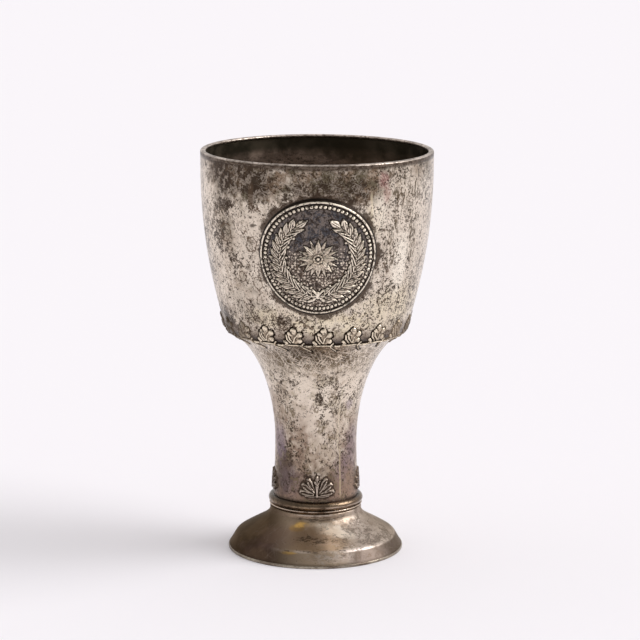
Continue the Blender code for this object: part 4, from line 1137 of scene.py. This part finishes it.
def leaf_forms(forms, x):
    """One lobed leaf with its side leaf, stalk and bar. X is its middle, and Y runs up from the corner."""
    shapes = (
        ([(0.2, -1.6), (-0.1, 0.6)], [1.70, 1.60], 0.62),
        ([(-0.1, 1.2), (-0.3, 2.0)], [1.05, 1.15], 0.72),
        ([(-1.0, 0.4), (-1.7, 0.8)], [0.76, 0.90], 0.66),
        ([(1.1, 0.2), (1.8, 0.5)], [1.00, 1.10], 0.70),
        ([(1.1, -1.8), (1.8, -2.0)], [0.90, 1.00], 0.64),
        ([(-2.9, 0.1), (-2.7, -1.4), (-1.5, -2.9)], [0.30, 0.38, 0.26], 0.52),
        ([(-2.0, -0.1), (-1.6, -1.3), (-0.5, -2.6)], [0.34, 0.42, 0.30], 0.70),
        ([(1.0, 0.3), (0.1, -0.7), (-0.3, -2.3)], [0.16, 0.30, 0.30], 0.86),
        ([(-3.7, -2.4), (-3.1, -3.1)], [0.58, 0.66], 0.46),
        ([(-3.6, -3.7), (-1.9, -4.05)], [0.32, 0.28], 0.48),
        ([(-1.5, -4.0), (0.4, -3.85), (2.3, -4.1)], [0.28, 0.36, 0.34], 0.52),
        ([(2.4, -4.1), (2.8, -3.4), (3.3, -2.9)], [0.38, 0.32, 0.22], 0.52),
        ([(2.3, -4.2), (2.6, -5.2), (3.4, -6.6), (4.5, -8.0), (5.6, -9.3)], [0.34, 0.32, 0.30, 0.26, 0.12], 0.46),
        ([(4.3, -4.25), (5.7, -4.25)], [0.46, 0.46], 0.58),
    )
    for path, widths, height in shapes:
        forms.ridge([(x + a, leaf_rise + b) for a, b in path], widths, 0.92 * height)


def repeating_tree():
    """Sets copies of a struck piece round the goblet's axis, and joins them to one strip."""
    piece, copies, metal = new_tree("repeating", "GeometryNodeTree", ("Strip", "Geometry"),
                                    {"Piece": "Geometry", "Copies": "Int", "Metal": "Material"})
    line = add(piece.tree, "GeometryNodeMeshLine", {"Count": copies, "Offset": (0, 0, 0)})
    turn = add(piece.tree, "GeometryNodeInputIndex", {}) * math.tau / copies
    spin = joined(0, 0, turn)
    return one_piece(add(piece.tree, "GeometryNodeInstanceOnPoints",
                         {"Points": line, "Instance": piece, "Rotation": spin}), metal)


border_path = cup_wall + [strip_bend] + stem_outline[1:]
corner_distance = along(cup_wall)[-1] + cup_corner_round
half_pitch = math.pi / leaf_count * border_ring
flat_x, flat_y = np.meshgrid(np.linspace(-half_pitch, half_pitch, int(2 * half_pitch / border_cell)),
                             np.linspace(-border_drop, border_rise, int((border_drop + border_rise) / border_cell)))
forms = Relief(flat_x / mm, flat_y / mm)
for neighbour in (-1, 0, 1):
    leaf_forms(forms, neighbour * 2 * half_pitch / mm)
margin(forms, 0.62, 0.25, 5)
forms.level = np.maximum(forms.level, np.where(np.abs(flat_y / mm - 0.2) < 0.55, 0.05, buried))
unit = on_wall(border_path, corner_distance - flat_y, border_turn + flat_x / border_ring, forms.level * mm)
border_metal = struck_finish("border_tarnish", (0.90, 0.78, 0.61), (0.36, 0.28, 0.20), (0.018, 0.012, 0.008),
                             (0.046, 0.032, 0.022), 6, border_ring)
border_mesh = formed("border_piece", repeating_tree(), struck("border_unit", forms, hollows(forms, 3), unit),
                     {"Copies": leaf_count, "Metal": border_metal})
border_mesh.shade_smooth()
dressed("border_piece", border_mesh, "struck_silver", "leaf_border")


# Medal: a struck silver disc bent to the cup's front and soldered on, with a thin raised rim and a row of beads.
# Two leafy branches, tied with a bow, stand round a rosette on a stippled ground that was darkened on purpose.
medal_field = 1.2 * mm               # the ground stands this far off the cup
field_radius = 19.9                  # the lengths from here on are millimetres
field_rings = 134
field_spokes = 640
rim = ((19.98, 0.22), (20.1, 0.36), (20.3, 0.42), (20.48, 0.36), (20.62, 0.16), (20.8, -0.10), (21.15, -0.35),
       (21.5, -0.60), (21.5, -1.35))
rim_hollows = (0.04, 0.08, 0.1, 0.03, -0.06, -0.12, -0.12, 0.02, 0.08, 0.12, 0.12, 0.12)
branch = 13.6                        # radius of the wreath


def ray(radius, turn, start=(0, 0)):
    """The place at a radius and a turn from a point."""
    return start[0] + radius * math.cos(turn), start[1] + radius * math.sin(turn)


def beads(forms, count, ring, radius, height):
    """A ring of beads."""
    for bead in range(count):
        forms.dome(ray(ring, math.tau * bead / count), radius, height)


def medal_forms(forms):
    """Two laurel branches tied with a bow, a rosette between them and a row of beads inside the rim."""
    petals = 8
    for reach, wide, height, phase in ((7.2, 0.60, 0.36, 0.5), (6.8, 1.02, 0.90, 0.0)):
        for petal in range(petals):
            lean = math.tau * (petal + phase) / petals
            forms.blade(ray(1.0, lean), lean, reach - 1.0, wide, height, 0.3)
    forms.dome((0, 0), 2.3, 0.5)
    forms.dome((0, 0), 0.7, 1.1)
    beads(forms, 8, 1.5, 0.5, 1.0)
    last = 14                            # number of the leaf at a branch's tip
    for side in (-1, 1):
        twig = [ray(branch, math.radians(-90 + side * (4 + 144 * i / 30))) for i in range(31)]
        forms.ridge(twig, [0.36] * len(twig), 0.40)
        for i in range(last + 1):
            turn = math.radians(-90 + side * (9 + 138 * i / last))
            root = ray(branch, turn)
            ahead = turn + side * math.pi / 2
            long = 5.6 - 1.0 * i / last
            if i == last:
                forms.blade(root, ahead, long, 1.25, 0.85)
                continue
            for lean in (34, -34):
                forms.blade(root, ahead + math.radians(lean), long, 1.25, 0.80)
            if i < last - 1:
                berry = ray(2.7, ahead + math.radians(74 if i % 2 else -74), root)
                forms.ridge([root, berry], [0.14, 0.14], 0.24)
                forms.dome(berry, 0.5, 0.6)
        loop = [(0, 0), (1.9, 1.9), (4.1, 1.8), (3.9, 0.1), (1.6, -0.4), (0, 0)]
        tail = [(0, 0), (1.7, -1.8), (3.7, -2.4), (5.4, -1.9)]
        for bow, widths, height in ((loop, [0.46] * 6, 0.72), (tail, [0.42, 0.60, 0.54, 0.36], 0.62)):
            forms.ridge([(side * x, -branch + y) for x, y in bow], widths, height)
    forms.ridge([(0, -branch - 0.5), (0, -branch + 0.5)], [1.0, 1.0], 0.9)
    beads(forms, 78, 18.7, 0.60, 0.60)


def stippled(forms, seed):
    """A ground of fine punched grains between the forms, coarser low down than high up."""
    level = np.zeros(forms.x.shape)
    rng = np.random.default_rng(seed)
    half = 22                            # the grains lie on a square that covers the disc
    for grain, deep in ((1.05, 0.24), (0.66, 0.15)):
        count = int(2 * half / grain)
        heights, shift_x, shift_y = (rng.random((count + 2, count + 2)) for _ in range(3))
        place_x, place_y = (np.clip((place + half) / grain, 0, count) for place in (forms.x, forms.y))
        cell = (place_x.astype(int), place_y.astype(int))
        off = np.hypot(place_x % 1 - (0.25 + 0.5 * shift_x[cell]), place_y % 1 - (0.25 + 0.5 * shift_y[cell]))
        level = np.maximum(level, deep * heights[cell] * np.clip(1 - (off / 0.46) ** 2, 0, 1))
    forms.level = np.maximum(forms.level, level * np.clip((6 - forms.y) / 7, 0.16, 1))


def medal_finish():
    """Medal silver: bright relief over a ground that is blue-grey above and brown below."""
    coat = Finish("medal_tarnish")
    hollow, level, off = (kept(coat, name) for name in ("hollow", "level", "away"))
    fine = coat.noise(0.5, 5, 0.8)
    wobble = fine - 0.5
    height = coat.z + (coat.noise(9) - 0.5) * (22 * mm)
    coat.colour = blend(rising(height, medal_height - 7 * mm, medal_height + 3 * mm), (0.115, 0.082, 0.058),
                        (0.088, 0.086, 0.094))
    cloud = coat.mottled(4, 0.58, seed=29, fine=4, edge=0.04)
    coat.lay(cloud, 0.7, (0.26, 0.21, 0.175))
    dusk = coat.mottled(1.5, 0.42, seed=43)
    coat.lay(dusk, 0.7, (0.035, 0.029, 0.028))
    coat.lay(rising(wobble * 0.08 + level, 0.04, 0.10), 0.95, (0.78, 0.67, 0.55))
    raised = coat.lay(rising(wobble * 0.10 + level, 0.13, 0.24), 1, (0.34, 0.27, 0.21))
    coat.lay(raised * rising(wobble * 0.10 + hollow, 0.014, -0.016), 1, (0.97, 0.87, 0.73))
    coat.lay(rising(off, -0.03, 0.04) * rising(off, 0.45, 0.2), 0.85, (0.022, 0.016, 0.012))
    coat.lay(rising(wobble * 0.08 + hollow, 0.012, 0.055), 1, (0.020, 0.015, 0.012))
    worn = coat.mottled(1.1, 0.30, seed=33, fine=1, edge=0.01)
    coat.lay(worn, 0.8, (0.040, 0.029, 0.023))
    return coat.finish(rising(raised, 0, 1, 0.42, 0.46), (fine, 0.022))


radii = np.concatenate([np.linspace(0, field_radius, field_rings), [radius for radius, _ in rim]])
ring_r, ring_a = np.meshgrid(radii, np.linspace(0, math.tau, field_spokes + 1), indexing="ij")
forms = Relief(ring_r * np.sin(ring_a), ring_r * np.cos(ring_a))
medal_forms(forms)
stippled(forms, 7)
forms.level[-len(rim):] = np.array([level for _, level in rim])[:, None]
hollow = blurred(forms.level, 2) - forms.level
hollow[-len(rim_hollows):] = np.array(rim_hollows)[:, None]
medal_distance = at_height(cup_wall, medal_height, along(cup_wall))
disc = on_wall(border_path, medal_distance - forms.y * mm, forms.x * mm / cup_wall_radius(medal_height),
               medal_field + forms.level * mm)
medal_mesh = struck("medal_piece", forms, hollow, disc, keep=-9)
medal_mesh.materials.append(medal_finish())
work = bmesh.new()
work.from_mesh(medal_mesh)
bmesh.ops.remove_doubles(work, verts=work.verts, dist=weld)
work.to_mesh(medal_mesh)
work.free()
medal_mesh.shade_smooth()
dressed("medal_piece", medal_mesh, "struck_silver", "medal")


# Table and room: a pale paper floor that fills the view, a pale room all round and one broad light on the right.
# The light gives the bright side of the metal and the wide soft shadow on the left.
paper = (0.94, 0.915, 0.96)
paper_glow = 0.12
floor_reach = 8.0
sun_height = math.radians(36)
sun_width = math.radians(42)
sun_strength = 2.0


def rays(tree, *kinds):
    """Where a ray of one of two kinds arrives."""
    return calc("MAXIMUM", *(add(tree, "ShaderNodeLightPath", {}, kind) for kind in kinds))


room = bpy.data.worlds.new("room")
bpy.context.scene.world = room
room.use_nodes = True
tree = room.node_tree
_, depth, _ = parts(add(tree, "ShaderNodeTexCoord", {}, "Generated"))
light = blend(rising(depth, -0.9, 0.3, 0.34, 0.80), (0.0, 0.0, 0.0), (1.0, 0.98, 0.96))
light = blend(rays(tree, "Is Camera Ray", "Is Transmission Ray"), light, paper)
tree.links.new(light.socket, tree.nodes["Background"].inputs["Color"])
tree.nodes["Background"].inputs["Strength"].default_value = 1.0

floor_mesh = bpy.data.meshes.new("floor")
floor_mesh.from_pydata([(x * floor_reach, y * floor_reach, 0) for x, y in ((-1, -1), (1, -1), (1, 1), (-1, 1))], [],
                       [(0, 1, 2, 3)])
floor = bpy.data.objects.new("floor", floor_mesh)
bpy.context.scene.collection.objects.link(floor)
floor_paper = bpy.data.materials.new("floor_paper")
floor_paper.use_nodes = True
tree = floor_paper.node_tree
shader = tree.nodes["Principled BSDF"]
for name, value in (("Base Color", (*paper, 1)), ("Roughness", 0.9), ("Specular IOR Level", 0.1)):
    shader.inputs[name].default_value = value
glow = add(tree, "ShaderNodeEmission", {"Color": paper, "Strength": 1.0})
share = rays(tree, "Is Camera Ray", "Is Glossy Ray") * paper_glow
mix = made("ShaderNodeMixShader", share, Flow(shader.outputs[0]), glow)
tree.links.new(mix.socket, tree.nodes["Material Output"].inputs["Surface"])
floor_mesh.materials.append(floor_paper)

window = bpy.data.objects.new("window", bpy.data.lights.new("window", "SUN"))
window.data.angle = sun_width
window.data.energy = sun_strength
toward_sun = Vector((math.cos(sun_height), -0.05, math.sin(sun_height)))
window.rotation_euler = toward_sun.to_track_quat("Z", "Y").to_euler()
bpy.context.scene.collection.objects.link(window)


# Camera: a long lens at the height and angle of the photograph, a little left of the medal's middle.
camera = bpy.data.objects.new("camera", bpy.data.cameras.new("camera"))
bpy.context.scene.collection.objects.link(camera)
camera_distance = 983.8 * mm
camera_height = 284.0 * mm
camera_side = math.radians(0.7)
camera_down = math.radians(11.368)
camera_pan = math.radians(0.078)
camera_roll = math.radians(0.257)
camera.data.sensor_width = 36.0
camera.data.lens = 152.5
camera.data.clip_start = 0.01
camera.location = (-camera_distance * math.sin(camera_side), -camera_distance * math.cos(camera_side), camera_height)
aim = (Matrix.Rotation(-(camera_side + camera_pan), 4, "Z") @ Matrix.Rotation(math.pi / 2 - camera_down, 4, "X")
       @ Matrix.Rotation(camera_roll, 4, "Z"))
camera.rotation_euler = aim.to_euler()
bpy.context.scene.camera = camera
bpy.context.scene.view_settings.view_transform = "Standard"
